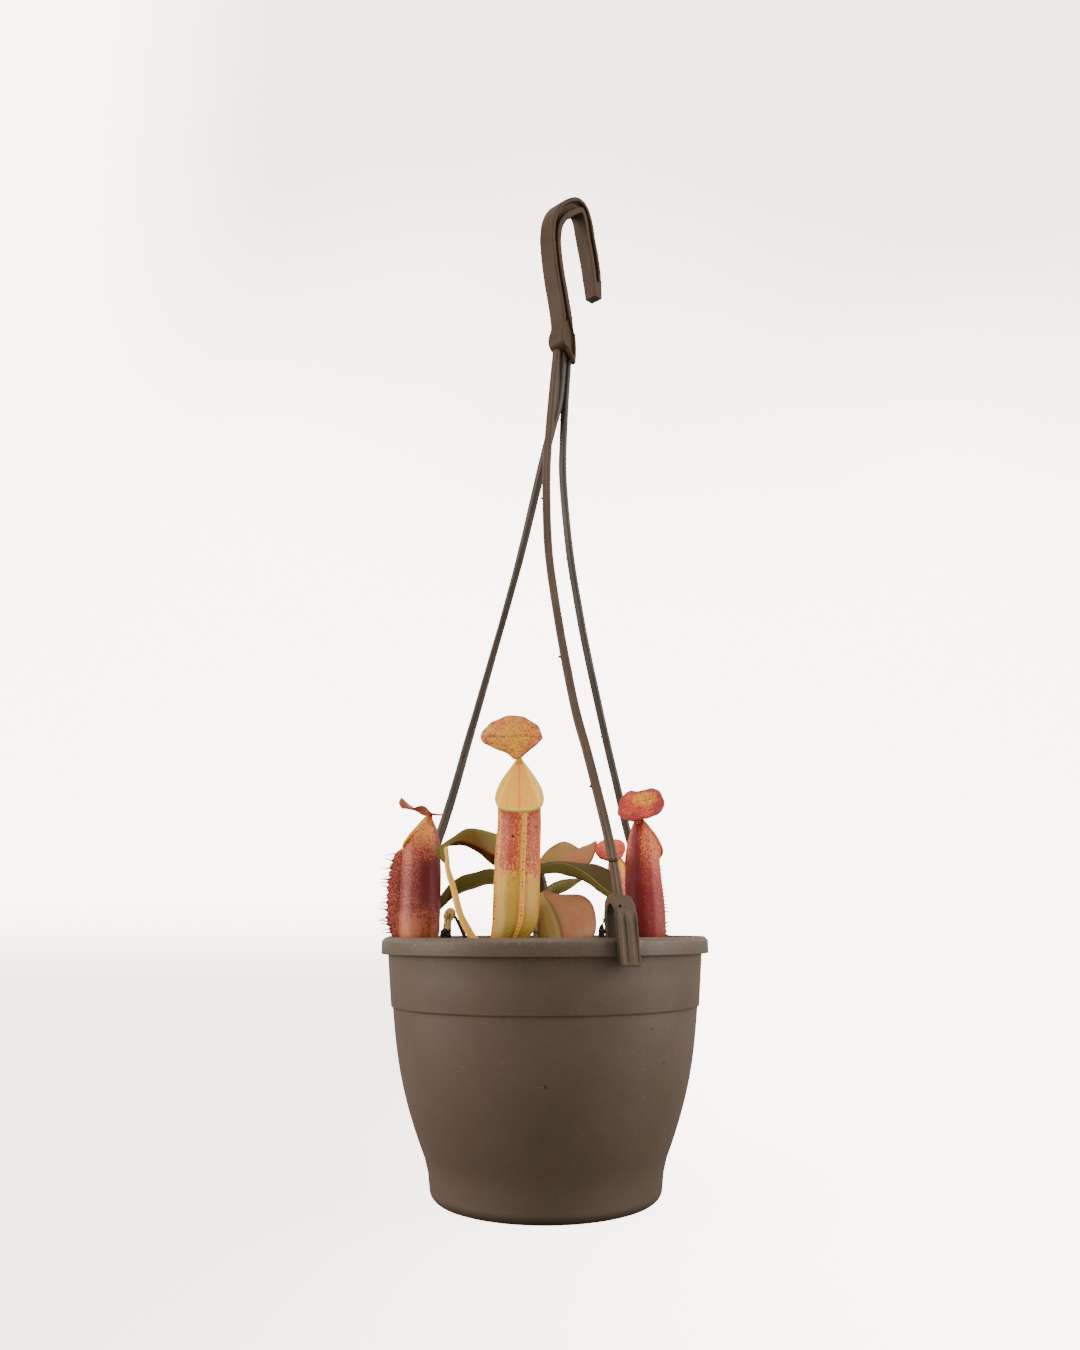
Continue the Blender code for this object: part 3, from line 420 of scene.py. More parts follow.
def potFinish(name, main, shade, rustAndLitBand, dust, scuffAndHighlight):
    ledge, top = potSizes["ledgeHeight"], potSizes["height"]
    skirt = top - potSizes["rimSkirt"]
    f = Finish(name, Specular_IOR_Level=0.38)
    x, height = f.place.part("X"), f.place.part("Z")
    broad = f.speckle(0.035, 4, 0.6)
    cloud = f.speckle(0.16, 5, 0.65)
    f.colour = f.mix(broad.step(0.36, 0.66), main, shade)
    left = x.step(24, -34)
    f.paint(cloud.step(0.52, 0.74) * (0.25 + 0.75 * left) * 0.55, rustAndLitBand)
    grain = f.speckle(2.6, 3, 0.7)
    below = height.step(62, 79) * height.step(ledge + 0.4, ledge - 0.4) * x.step(18, 44)
    powder = (grain + 0.10 * below + 0.16 * (cloud - 0.5)).step(0.60, 0.78)
    f.paint(powder * 0.42, dust)
    crease = (height.step(ledge + 0.6, ledge - 0.4) * height.step(ledge - 5, ledge - 0.4)
              + height.step(skirt + 0.8, skirt - 0.2) * height.step(skirt - 6.6, skirt - 0.2))
    f.paint((crease * f.speckle(0.7, 4).step(0.42, 0.7)).clip() * 0.16, dust)
    rub = f.speckle(0.32, 4, 0.6, f.place.scaled(1, 1, 2.2)).step(0.55, 0.72)
    edge = height.step(skirt + 0.6, top - 1.5)
    # scuffs rubbed into the rim face, plus a painted highlight: a lighter band in the scuff colour along the
    # top of the rim
    f.paint((rub * edge * height.step(top - 0.4, top - 2) * 0.5
             + height.step(top - 3.5, top - 0.5) * 0.15).clip(), scuffAndHighlight)
    lines = f.speckle(0.9, 2, 0.4, f.place.scaled(0.30, 0.30, 5.0).moved((3.1, 0.0, 7.7)), 0.4)
    upright = f.speckle(0.9, 2, 0.4, f.place.scaled(4.4, 4.4, 0.22), 0.5)
    scratch = (lines.step(0.70, 0.745) + upright.step(0.725, 0.76)).clip()
    f.paint(scratch * 0.38, scuffAndHighlight)
    spots = f.cells(0.085)
    speck = spots.step(0.085, 0.04) * f.speckle(0.05, 1).step(0.57, 0.62)
    f.paint(speck * 0.6, tint(44, 33, 26))
    # painted light: a warmer, lighter upright band down the left side of the pot, in the rust colour
    band = x.step(-16, -36) * x.step(-70, -50)
    f.paint(band * 0.3, rustAndLitBand)
    # painted shade: the pot darker towards the bottom
    shadeBelow = height.step(60, 0)
    f.paint(shadeBelow * 0.34, shade)
    foot = height.step(5.5, 0.6)
    f.paint(foot * 0.45, tint(48, 37, 30))
    skin = f.speckle(1.5, 4, 0.6)
    relief = skin * 0.5 + grain * 0.35 + cloud * 0.4 + scratch * 0.35
    rings = (f.speckle(0.5, 2, 0.5, f.place.scaled(0.03, 0.03, 3.0)) - 0.5) * 0.25
    roughness = 0.44 + 0.16 * broad + 0.22 * powder - 0.08 * rub + 0.1 * (skin - 0.5)
    return f.finished(Roughness=roughness, Normal=f.bump(relief + rings, 0.3, 0.08))


def makePot():
    finish = potFinish("pot skin", tint(112, 92, 75), tint(103, 84, 68), tint(118, 88, 70), tint(144, 127, 111),
                       tint(164, 145, 129))
    s = potSizes
    pot = turnedPiece("potBody", potProfile(), s["sides"], finish)
    drills = []
    for turn in (np.arange(s["drains"]) + 0.5) * 2 * math.pi / s["drains"]:
        x, y = s["drainCircle"] * math.cos(turn), s["drainCircle"] * math.sin(turn)
        rings = [circle(s["drainRadius"] + bevel, z, 36, x, y) for bevel, z in ((0.5, 0.4), (0, 1.3), (0, 3))]
        drills.append(ringPiece("drill", rings, finish))
    fuse(pot, drills, "DIFFERENCE")
    pot.data.shade_smooth()
    pot.data.set_sharp_from_angle(angle=math.radians(38))
    handOver(pot, "pot_plastic", "pot")


# ---- hanger

hookSizes = dict(
    heading=math.radians(48), foot=(11.6, 0.0), flange=2.3, farFlange=3.1, deeper=1.6, web=2.4, width=10.0,
    voxel=0.37, softening=9, hubRound=2.6, lipStart=2.6, pocketDepth=1.6, tipHalf=3.7,
    line=[(-1.8, 418, 2.9, 2.9, 10), (-2.6, 431, 3.1, 3.1, 10), (-5.4, 444, 3, 3, 10),  # along, height, outer,
          (-8.2, 455, 2.9, 2.9, 10), (-10.1, 466, 2.8, 2.8, 10), (-11.0, 477, 2.8, 2.9, 10),  # inner, width
          (-9.6, 487.5, 2.8, 3.6, 10), (-4.9, 497, 2.8, 4.6, 10), (2.0, 504.2, 2.8, 4.9, 9.8),
          (8.6, 508.8, 2.7, 4.4, 9.8), (14.2, 508.6, 2.8, 3.4, 9.6), (18.0, 502.6, 3.1, 3, 9.2),
          (20.2, 492.8, 3.4, 2.9, 8.9), (23.2, 481.7, 3.4, 2.9, 8.7), (25.5, 469.8, 3.2, 2.8, 8.4),
          (27.0, 457.6, 2.4, 2.3, 7.8)],
    hub=[(-4.6, 427), (-6.9, 421.5), (-7.4, 417.6), (-6.4, 414.6), (-4, 413.3), (4.6, 412.3), (4.2, 420),
         (2.8, 425), (0.4, 431), (-2.4, 430)],
    lip=[(-4.6, 415.6), (0.6, 409.4), (2.4, 405.8), (3.8, 406.2), (4.5, 414.4), (3.8, 424)],
    pocket=[(-3.9, 427), (-3.3, 432.4), (-1.1, 432.4), (0.6, 428), (2.6, 423.4), (3, 413), (2.4, 409.8),
            (-4.6, 417.2)],
    tip=[(21.8, 467), (23.8, 459.6), (25.2, 457.4), (28.4, 457.4), (29.3, 459.4), (28.7, 467)])
clipSizes = dict(width=8.6, top=128.0, bottom=99.8, innerEnd=103.5, sleeveTop=141.1,
                 sleeveRadii=[2.15, 2.0, 1.9], barbHeight=113.6, barbRadii=[0.8, 0.6, 0.35], pinHeight=123.2,
                 pinRadii=[0.65, 0.65], panels=(-3.4, 1.3), panelWidth=2.1,
                 panel=[(79.3, 101.2), (81, 101.2), (81, 121.6), (78.55, 121.6)], voxel=0.27, softening=2)
strandSizes = dict(width=4.1, depth=3.0, groove=0.20, rows=190, pip=0.62)
strands = {
    "Front": dict(
        bearing=25.6, lean=0.06, pips=(0.31, 0.64, 0.88),
        line=[(7.6, -2.7, 412.6), (4.9, -4, 383), (2.2, -6.5, 348), (1.8, -9.5, 322), (2.6, -15, 296),
              (4.9, -21, 273), (9.2, -31, 240.5), (14.1, -41, 210), (18.5, -48.5, 190.5), (22.3, -56, 172),
              (25.7, -62.2, 155), (28.1, -65.4, 141.3)]),
    "Left": dict(
        bearing=-120.0, stout=1.3, pips=(0.11, 0.45, 0.78),
        line=[(10.7, 0.2, 412.6), (8.5, 2.4, 386.5), (4.5, 4.6, 370), (-0.9, 8.5, 349), (-11, 15, 307),
              (-19.5, 22, 276.5), (-25.6, 27, 256), (-34.5, 32.6, 225.5), (-40.6, 36.4, 205),
              (-46.2, 38.8, 185), (-52.4, 39, 164.5), (-60.4, 37.4, 141.3)]),
    "Right": dict(
        bearing=135.0, pips=(0.13, 0.40, 0.74),
        line=[(13.8, 3.2, 412.6), (12.1, 4, 387), (10.9, 5, 364.5), (10.6, 6.8, 343), (13.8, 13, 306),
              (18.6, 20, 276), (22.5, 26, 256), (29.3, 35, 225.5), (34, 40.4, 205), (38.7, 44.6, 185),
              (43.6, 48, 163), (49.6, 50.4, 141.3)]),
}


def hangerFinish(name, main, shade, bright, specks=1.0, gloss=0.3):
    rim, top = potSizes["rimRadius"], potSizes["height"]
    f = Finish(name, Specular_IOR_Level=gloss)
    height, x, y = f.place.part("Z"), f.place.part("X"), f.place.part("Y")
    shadow = (x * x + y * y).maths("SQRT").step(rim + 3.7, rim + 2.7) * height.step(top + 14, top + 9)
    broad, grain = f.speckle(0.05, 4, 0.6), f.speckle(2.2, 4, 0.65)
    flow = f.speckle(0.5, 3, 0.55, f.place.scaled(1, 1, 0.16), 0.6)
    f.colour = f.mix(broad.step(0.34, 0.68), main, shade)
    f.paint(flow.step(0.54, 0.76) * 0.35, bright)
    worn = (f.cells(0.55, feature="F2").step(0.92, 1.12) * f.speckle(0.12, 2).step(0.48, 0.62)).clip()
    f.paint(worn * 0.28, bright)
    powder = (grain + 0.22 * (broad - 0.5)).step(0.62, 0.8)
    f.paint(powder * 0.3, tint(150, 136, 120))
    speck = f.cells(0.2).step(0.11, 0.06) * f.speckle(0.09, 1).step(0.52, 0.6)
    f.paint(speck * 0.7 * specks, tint(34, 26, 20))
    f.paint(shadow * 0.7, tint(44, 36, 30))
    band = (height * 0.9).sine() * 0.06 + flow * 0.5
    roughness = 0.36 + 0.16 * broad + 0.2 * powder + 0.12 * flow
    relief = grain * 0.5 + band + f.speckle(0.9, 3) * 0.6
    return f.finished(Roughness=roughness, Normal=f.bump(relief, 0.32, 0.10))


def hookPlace(along, across, height):
    x, y = hookSizes["foot"]
    cos, sin = math.cos(hookSizes["heading"]), math.sin(hookSizes["heading"])
    return np.array([x + along * cos + across * sin, y + along * sin - across * cos, height])


def hookPlate(name, outline, low, high, material):
    return ringPiece(name, [[hookPlace(s, across, z) for s, z in outline] for across in (low, high)], material)


def hookSection(outer, inner, width):
    w, k = (width - 0.4) / 2, hookSizes["web"] / 2
    inner = inner + hookSizes["deeper"]
    a, b = hookSizes["flange"] - outer, inner - hookSizes["farFlange"]
    return [(-w, -outer), (w, -outer), (w, a), (k, a), (k, b), (w, b), (w, inner), (-w, inner), (-w, b),
            (-k, b), (-k, a), (-w, a)]


def makeHook(material):
    s, half = hookSizes, hookSizes["width"] / 2
    line = smoothLine(s["line"], 110)
    rings = []
    for tangent, (along, z, outer, inner, width) in zip(np.gradient(line[:, :2], axis=0), line):
        tangent = unit(tangent)
        rings.append([hookPlace(along + b * tangent[1], a, z - b * tangent[0])
                      for a, b in hookSection(outer, inner, width)])
    hook = ringPiece("hangerHook", rings, material)
    hub = roundedLine([*s["hub"], s["hub"][0]], s["hubRound"])[:-1]
    fuse(hook, [hookPlate("hub", hub, -half - 0.1, half + 0.1, material),
                hookPlate("lip", s["lip"], s["lipStart"], half + 0.2, material),
                hookPlate("tip", s["tip"], -s["tipHalf"], s["tipHalf"], material)])
    fuse(hook, [hookPlate("pocket", s["pocket"], half - s["pocketDepth"], half + 2, material)], "DIFFERENCE")
    moulded(hook, s["voxel"], s["softening"])
    handOver(hook, "hanger_plastic", "hanger_hook")


def clipFrame(bearing):
    out = np.array([math.sin(bearing), -math.cos(bearing), 0.0])
    return out, np.array([math.cos(bearing), math.sin(bearing), 0.0])


def clipSlab(name, outline, bearing, low, high, material, lean=0.0):
    out, side = clipFrame(bearing)
    rings = [[out * r + side * (s - lean * (z - 100)) + np.array([0, 0, z]) for r, z in outline]
             for s in (low, high)]
    return ringPiece(name, rings, material)


def makeClip(name, node, bearing, strandEnd, material, lean=0.0):
    c = clipSizes
    underSkirt = potSizes["height"] - potSizes["rimSkirt"] - 0.3
    outline = [(66.6, c["innerEnd"]), (68.6, c["innerEnd"]), (69.4, 120.8), (70.4, 123.4), (72.6, 124.8),
               (74.6, 123.2), (75.5, 120.5), (75.5, underSkirt), (74, underSkirt), (74.2, underSkirt - 0.9),
               (76.4, underSkirt - 2.2), (77.0, c["bottom"]), (79.6, c["bottom"]), (79.2, 118), (78, 124.2),
               (75, 127.4), (71, c["top"]), (68, 125.2), (66.6, 119)]
    half = c["width"] / 2
    clip = clipSlab(name, roundedLine([*outline, outline[0]], 0.6)[:-1], bearing, -half, half, material, lean)
    out, side = clipFrame(bearing)
    foot = out * 73 + np.array([0, 0, 124.4]) - side * lean * 24
    top = np.array([*strandEnd[:2], c["sleeveTop"]])
    line = evenLine([foot, foot * 0.5 + top * 0.5, top], 24)
    sleeve = tubePiece("sleeve", line, c["sleeveRadii"], material, 32, [side] * 24, strandSection())
    barb = out * 67 - side * (half - 0.3 + lean * 15) + np.array([0, 0, c["barbHeight"]])
    spike = tubePiece("barb", [barb, barb - side * 1.5 + out * 0.2, barb - side * 2.4 + np.array([0, 0, 0.5])],
                      c["barbRadii"], material, 12, attributes={})
    fuse(clip, [sleeve, spike])
    cuts = [clipSlab("panel", c["panel"], bearing, low, low + c["panelWidth"], material, lean)
            for low in c["panels"]]
    pin = out * 77.2 - side * (2.9 + lean * 23) + np.array([0, 0, c["pinHeight"]])
    cuts.append(tubePiece("pin", [pin, pin + out * 4], c["pinRadii"], material, 16, attributes={}))
    fuse(clip, cuts, "DIFFERENCE")
    moulded(clip, c["voxel"], c["softening"])
    handOver(clip, "hanger_plastic", node)


def strandSection():
    turns = (np.arange(40) + 0.5) * 2 * math.pi / 40
    x = np.sign(np.cos(turns)) * abs(np.cos(turns)) ** 0.72
    y = np.sign(np.sin(turns)) * abs(np.sin(turns)) ** 0.62
    dip = 1 - strandSizes["groove"] * np.exp(-(x / 0.34) ** 2)
    return np.array([x, y * dip * strandSizes["depth"] / strandSizes["width"]]).T


def makeStrand(name, node, strand, material):  # each strand twists from the hub's heading to its clip's
    start, end = -hookSizes["heading"] + math.radians(6), math.radians(strand["bearing"])
    end -= math.pi * round((end - start) / math.pi)
    line = evenLine(smoothLine(strand["line"], 300), strandSizes["rows"])
    turns = start + (end - start) * np.linspace(0, 1, len(line))
    wide = np.array([np.cos(turns), np.sin(turns), 0 * turns]).T
    radius = strandSizes["width"] / 2 * strand.get("stout", 1)
    quick, slow = np.linspace(0, 60, len(line)), np.linspace(0, 11, len(line))
    ripple = radius * (1 + 0.012 * np.sin(quick) * np.sin(slow))
    bar = tubePiece(name, line, ripple, material, wide=wide, section=strandSection())
    pips = []
    size = strandSizes["pip"]
    for share in strand["pips"]:
        i = int(share * (len(line) - 1))
        flank = -wide[i] if wide[i][0] > 0 else wide[i]
        base = line[i] + flank * (radius - 0.35)
        pips.append(tubePiece("pip", [base, base + flank * 0.7, base + flank * 1.15, base + flank * 1.35],
                              [size * 1.15, size, size * 0.8, size * 0.3], material, 12, attributes={}))
    handOver(join(name, [bar, *pips]), "hanger_plastic", node)


def makeHanger():
    # one plastic in three copies: the side strands and clips take a darker copy as painted shade, and the hook
    # takes another darker copy, also painted shade, against the stronger light it gets
    pale = hangerFinish("hanger skin", tint(116, 91, 70), tint(100, 78, 60), tint(130, 107, 88), gloss=0.2)
    dark = hangerFinish("hanger skin in shade", tint(96, 78, 64), tint(80, 65, 52), tint(122, 104, 90), 1.3)
    makeHook(hangerFinish("hook skin", tint(100, 76, 57), tint(88, 67, 51), tint(116, 94, 75), gloss=0.1))
    for side, strand in strands.items():
        material = pale if side == "Front" else dark
        makeStrand("strand" + side, "hanger_strand_" + side.lower(), strand, material)
        makeClip("clip" + side, "hanger_clip_" + side.lower(), math.radians(strand["bearing"]),
                 strand["line"][-1], material, strand.get("lean", 0.0))


# ---- leaves

leafSizes = dict(rows=120, columns=49, thickness=0.62, midrib=0.85, groove=0.22, vein=0.07, cockle=0.22,
                 veins=[(0.34, 0.025, 1), (0.62, 0.022, 1), (0.82, 0.02, 0.7)])  # (place, spread, depth)
leaves = {
    "ArchLeft": dict(
        stations=[((-7, -1.4, 121), (-7.6, 0.6, 123), (-7, 2.6, 121)),
                  ((-11, -6, 139), (-12.4, -2, 143), (-10.6, 3, 140)),
                  ((-16.5, -14, 147), (-17.2, -7.4, 155), (-16, -1, 145)),
                  ((-23.5, -21, 147), (-22.4, -12, 157), (-22.9, -4, 143)),
                  ((-30.4, -27, 150.4), (-29.6, -19, 158.6), (-30.6, -12, 148.6)),
                  ((-36.2, -31, 152.2), (-35.5, -26, 158.2), (-36.6, -21, 151.2)),
                  ((-40, -34, 151.6), (-40.2, -31, 154.6), (-40.6, -27.6, 150.8)),
                  ((-42.6, -37.2, 149.4), (-44.2, -35.6, 151.2), (-45.6, -33.6, 150)),
                  ((-43, -38.5, 145.4), (-46, -37.8, 147), (-48.6, -37, 148.4)),
                  ((-43.9, -39, 142.4), (-44.3, -38.9, 142.7), (-44.7, -38.8, 143))],
        tendril=[(-43.4, -37, 149.6), (-42.9, -38, 145), (-42.2, -38.6, 139.5), (-39.6, -39, 131.6),
                 (-36.6, -40, 121), (-32, -40.4, 112.4), (-29, -40, 109), (-26.4, -38.6, 107.4)],
        tendrilRadius=(0.95, 1.95), slot="leaf_green", gloss=0.14, near=tint(146, 124, 56),
        far=tint(130, 108, 38), underside=tint(176, 128, 84), rib=tint(150, 126, 62),
        margin=tint(150, 104, 56), dots=tint(150, 128, 58), stalk=tint(232, 200, 142),
        stalkRed=tint(224, 180, 126)),
    "LowLeft": dict(
        stations=[((-6.6, 5.4, 122), (-6, 6.8, 123), (-5, 7.8, 122)),
                  ((-13.4, 3, 130), (-13, 8, 133.6), (-12, 13, 134.6)),
                  ((-24, -1, 134.8), (-24, 6, 138.8), (-24, 13, 142.4)),
                  ((-33.8, 0, 132.7), (-33.8, 7, 136.8), (-33.6, 14, 141)),
                  ((-41.4, 1.6, 130), (-41.6, 8, 134), (-41.2, 14, 138.8)),
                  ((-47.4, 11.3, 126), (-47.6, 13, 129.6), (-47.4, 15.6, 134)),
                  ((-52.4, 12.6, 120.6), (-53.4, 13, 121.8), (-54.4, 13.6, 123)),
                  ((-55.4, 12.9, 115.6), (-55.8, 13, 116), (-56.2, 13.1, 116.4))],
        tendril=[(-54.6, 13, 118.4), (-56.6, 13.2, 113.6), (-58.4, 13, 109.8), (-59.4, 11.4, 107.8)],
        tendrilRadius=(0.9, 1.2), slot="leaf_green", near=tint(108, 92, 44), far=tint(112, 96, 48),
        underside=tint(118, 98, 56), rib=tint(128, 112, 52), margin=tint(146, 128, 72),
        dots=tint(116, 102, 44), stalk=tint(176, 134, 84), stalkRed=tint(146, 78, 56)),
    "ArchRight": dict(
        stations=[((-4.4, -4.6, 122), (-2.8, -4.4, 123), (-1.2, -4.6, 122)),
                  ((-6.8, -8.4, 135), (-6.6, -5.4, 139), (-6.4, -1.6, 140.6)),
                  ((-1.8, -11.4, 138.4), (-1.6, -8, 142.4), (-1.4, -3, 143.8)),
                  ((4.8, -14, 139.2), (4.9, -9.6, 143.8), (5, -4, 144.4)),
                  ((10.6, -16.4, 137.8), (10.8, -12, 143.2), (11, -6, 144.4)),
                  ((15.6, -19, 136.3), (16.7, -16, 140.2), (18, -8, 144)),
                  ((20, -21.8, 133.8), (21.2, -19, 136.8), (24.4, -11, 143)),
                  ((24.6, -24.4, 130.6), (25.6, -22, 132.8), (30, -15, 140)),
                  ((28.4, -26.4, 127.6), (29.8, -24.6, 129.6), (33.4, -20, 133.6)),
                  ((31.6, -26.6, 126.2), (32.6, -25.6, 127), (33.6, -24.4, 128))],
        tendril=[(31.4, -25.6, 127.8), (34, -25, 123.6), (36.6, -22.6, 117), (38.6, -18.6, 110.6),
                 (40.4, -14.4, 107.6)],
        tendrilRadius=(0.9, 1.2), slot="leaf_green", gloss=0.08, near=tint(100, 88, 26), far=tint(94, 70, 38),
        underside=tint(104, 90, 46), rib=tint(150, 134, 66), margin=tint(104, 54, 36),
        dots=tint(134, 118, 54), stalk=tint(190, 132, 86), stalkRed=tint(152, 62, 48)),
    "UnderRight": dict(
        stations=[((-1.8, 6.6, 125), (-1.4, 8.2, 123), (-0.6, 9.6, 122.6)),
                  ((-0.6, 7.4, 131.6), (-0.2, 10, 128.6), (0.4, 14, 128.8)),
                  ((2.8, 8, 134.9), (3.2, 12, 131), (4.1, 17, 133)),
                  ((7.6, 9, 137.1), (7.2, 13, 131.8), (8, 19, 135.6)),
                  ((12, 11, 137.8), (11.6, 14, 133.9), (12, 18.6, 136.8)),
                  ((15.6, 13, 137.9), (15.4, 14.8, 136.4), (15.6, 17.2, 137.6)),
                  ((17.8, 14.4, 137.8), (17.9, 15, 137.4), (17.8, 15.8, 137.7))],
        tendril=[(16, 14.8, 137.4), (21, 15.6, 138.2), (26.4, 17, 136.6), (31.4, 19, 130), (34, 21, 120.6),
                 (35.4, 22.4, 111.4), (36, 23.4, 108.2)],
        # UnderRight's pale colours are partly the leaf's glaucous bloom and partly a painted highlight
        tendrilRadius=(0.7, 0.9), slot="leaf_green", gloss=0.1, near=tint(210, 200, 172),
        far=tint(200, 194, 164), underside=tint(194, 190, 158), rib=tint(180, 164, 130),
        margin=tint(140, 92, 74), dots=tint(168, 160, 120), stalk=tint(178, 112, 84),
        stalkRed=tint(150, 66, 56)),
    "BackRight": dict(
        stations=[((1, 5.6, 141), (-0.6, 6, 141), (-2.2, 6, 141.6)),
                  ((13, 8.6, 142.6), (5.6, 9, 142.6), (-2.6, 8.6, 146)),
                  ((22.4, 14, 145.4), (10, 12, 146.3), (1.6, 14, 151.8)),
                  ((26.2, 22, 156), (13.6, 20, 150.6), (7.8, 20, 156)),
                  ((22.4, 26.6, 155.4), (16.6, 26, 152.6), (12.2, 25, 156.2)),
                  ((18.4, 28.5, 154), (17.5, 28.4, 153.5), (16.6, 28.2, 154))],
        tendril=None, slot="leaf_blush", gloss=0.2, near=tint(188, 132, 98), far=tint(176, 146, 92),
        underside=tint(182, 136, 100), rib=tint(210, 128, 108), margin=tint(150, 84, 58),
        dots=tint(198, 146, 100), stalk=None, stalkRed=None),
    "LowRight": dict(
        stations=[((2.4, -4.2, 126), (1.4, -4.6, 126), (0.4, -4.6, 125.4)),
                  ((1.6, -8.6, 131.6), (0, -9, 131.2), (-1.4, -8, 130.4)),
                  ((5.8, -13, 129.6), (0.3, -17, 128.4), (-2.8, -15.4, 127)),
                  ((15.3, -18, 129.4), (2.7, -25.4, 124.4), (-3, -23, 122.6)),
                  ((20.3, -24, 126.4), (5, -31.6, 119.6), (-3, -29, 117.6)),
                  ((22.4, -29, 119.6), (6.7, -35.8, 114.4), (-2.8, -33, 112.4)),
                  ((21.6, -31.6, 112), (7.4, -37.6, 110), (-2, -34, 109)),
                  ((17, -32, 108.4), (8, -35, 107.3), (2.4, -32, 107.3)),
                  ((11, -31, 107.4), (8.9, -31, 107.3), (7, -30.6, 107.4))],
        tendril=None, slot="leaf_blush", gloss=0.3, near=tint(182, 124, 82), far=tint(172, 146, 84),
        underside=tint(170, 124, 70), rib=tint(128, 98, 52), margin=tint(150, 92, 50),
        dots=tint(176, 138, 80), stalk=None, stalkRed=None),
}


def leafFinish(name, leaf):
    f = Finish(name, Specular_IOR_Level=leaf.get("gloss", 0.0))
    across, along = f.attribute("across"), f.attribute("along")
    under, vein = f.attribute("under"), f.attribute("vein")
    broad, fine = f.speckle(0.16, 5, 0.6), f.speckle(1.7, 4, 0.65)
    half = (across + 0.10 * (broad - 0.5)).step(-0.10, 0.12)
    f.colour = f.mix(half, leaf["near"], leaf["far"])
    f.paint(broad.step(0.40, 0.70) * 0.45, leaf["far"])
    f.paint((fine + 0.4 * (broad - 0.5)).step(0.56, 0.74) * 0.4, leaf["dots"])
    dots = f.cells(0.85).step(0.20, 0.10) * f.speckle(0.22, 2).step(0.46, 0.60)
    f.paint(dots * 0.75, leaf["dots"])
    fleck = f.cells(0.62).step(0.15, 0.07) * f.speckle(0.13, 2).step(0.60, 0.5)
    f.paint(fleck * 0.55, leaf["margin"])
    f.paint(under * (0.75 + 0.25 * fine.step(0.3, 0.7)), leaf["underside"])
    f.paint(vein * 0.12, leaf["rib"])
    rib = across.size().step(0.085, 0.03) * along.step(1.0, 0.85)
    f.paint(rib * (0.55 + 0.4 * fine), leaf["rib"])
    edge = (across.size() + 0.05 * (fine - 0.5)).step(0.90, 0.975)
    f.paint(edge * 0.75, leaf["margin"])
    tip = (along + 0.08 * (broad - 0.5)).step(0.90, 0.99)
    f.paint(tip * 0.4, leaf["margin"])
    pores = f.cells(2.2, randomness=0.9)
    roughness = 0.36 + 0.2 * fine + 0.14 * under + 0.06 * broad
    height = 0.4 * pores + 0.55 * fine - 0.8 * vein + 0.4 * f.speckle(4.5, 2)
    return f.finished(Roughness=roughness, Normal=f.bump(height, 0.4, 0.10))


def stalkFinish(name, pale, red, deep):
    f = Finish(name, Subsurface_Weight=0.1, Subsurface_Scale=0.002)
    along = f.attribute("along")
    broad, fine = f.speckle(0.22, 4, 0.6), f.speckle(1.9, 4, 0.6)
    f.colour = f.mix((along + 0.5 * (broad - 0.5)).step(0.2, 0.95) * 0.6, pale, red)
    f.paint(broad.step(0.52, 0.7) * 0.4, red)
    stripes = f.speckle(0.8, 3, 0.5, f.place.scaled(1.3, 1.3, 0.18)).step(0.54, 0.72)
    f.paint(stripes * 0.4, deep)
    specks = f.cells(0.9).step(0.18, 0.09) * broad.step(0.44, 0.6)
    f.paint(specks * 0.7, deep)
    return f.finished(Roughness=0.38 + 0.22 * fine, Normal=f.bump(fine + stripes * 0.6, 0.4, 0.12))


def bladePiece(name, leaf, material, seed):
    s = leafSizes
    near, middle, far = (smoothLine([station[i] for station in leaf["stations"]], s["rows"]) for i in range(3))
    v = np.linspace(-1, 1, s["columns"])
    v = np.sign(v) * abs(v) ** 0.92
    grid = np.array([middle + t * (far - near) / 2 + t * t * ((near + far) / 2 - middle) for t in v])
    grid = grid.transpose(1, 0, 2)
    normal = unit(np.cross(np.gradient(grid, axis=0), np.gradient(grid, axis=1)))
    if normal[len(grid) // 2, s["columns"] // 2, 2] < 0:
        normal = -normal
    narrow = np.minimum(np.linalg.norm(far - middle, axis=1), np.linalg.norm(near - middle, axis=1))
    freedom = np.clip(narrow / 4, 0, 1)[:, None, None]  # narrow ends stay flat, so they can't cross themselves
    normal = unit(freedom * normal + (1 - freedom) * normal.mean(axis=1, keepdims=True))
    room = np.minimum(1, narrow / 3)[:, None]
    u = np.linspace(0, 1, s["rows"])[:, None] + 0 * v[None, :]
    w = v[None, :] + 0 * u
    lengthwise = sum(depth * np.exp(-((abs(w) - place) / spread) ** 2) for place, spread, depth in s["veins"])
    slanted = np.maximum(0, np.cos(2 * math.pi * (13 * u + 2.6 * abs(w) ** 1.2))) ** 14 * (abs(w) > 0.04)
    vein = np.clip(0.75 * lengthwise + 0.6 * slanted, 0, 1) * np.clip((1 - abs(w)) / 0.08, 0, 1)
    cockle = s["cockle"] * wobbles(grid, 0.20, seed) * room * (0.3 + 0.7 * abs(w))
    above = cockle - s["groove"] * np.exp(-(w / 0.07) ** 2) * room - s["vein"] * vein
    ridge = np.clip(1 - abs(w) / 0.2, 0, 1) ** 1.4 * room
    below = -cockle + s["midrib"] * ridge + s["vein"] * vein
    edge = np.clip(np.minimum((1 - abs(w)) / 0.09, np.minimum(u, 1 - u) / 0.02), 0, 1)
    half = 0.5 * s["thickness"] * (0.5 + 0.5 * edge ** 0.5)
    sides = [grid + normal * (half + above)[..., None], grid - normal * (half + below)[..., None]]
    return slabPiece(name, sides, material, {"across": w, "along": u, "vein": vein})


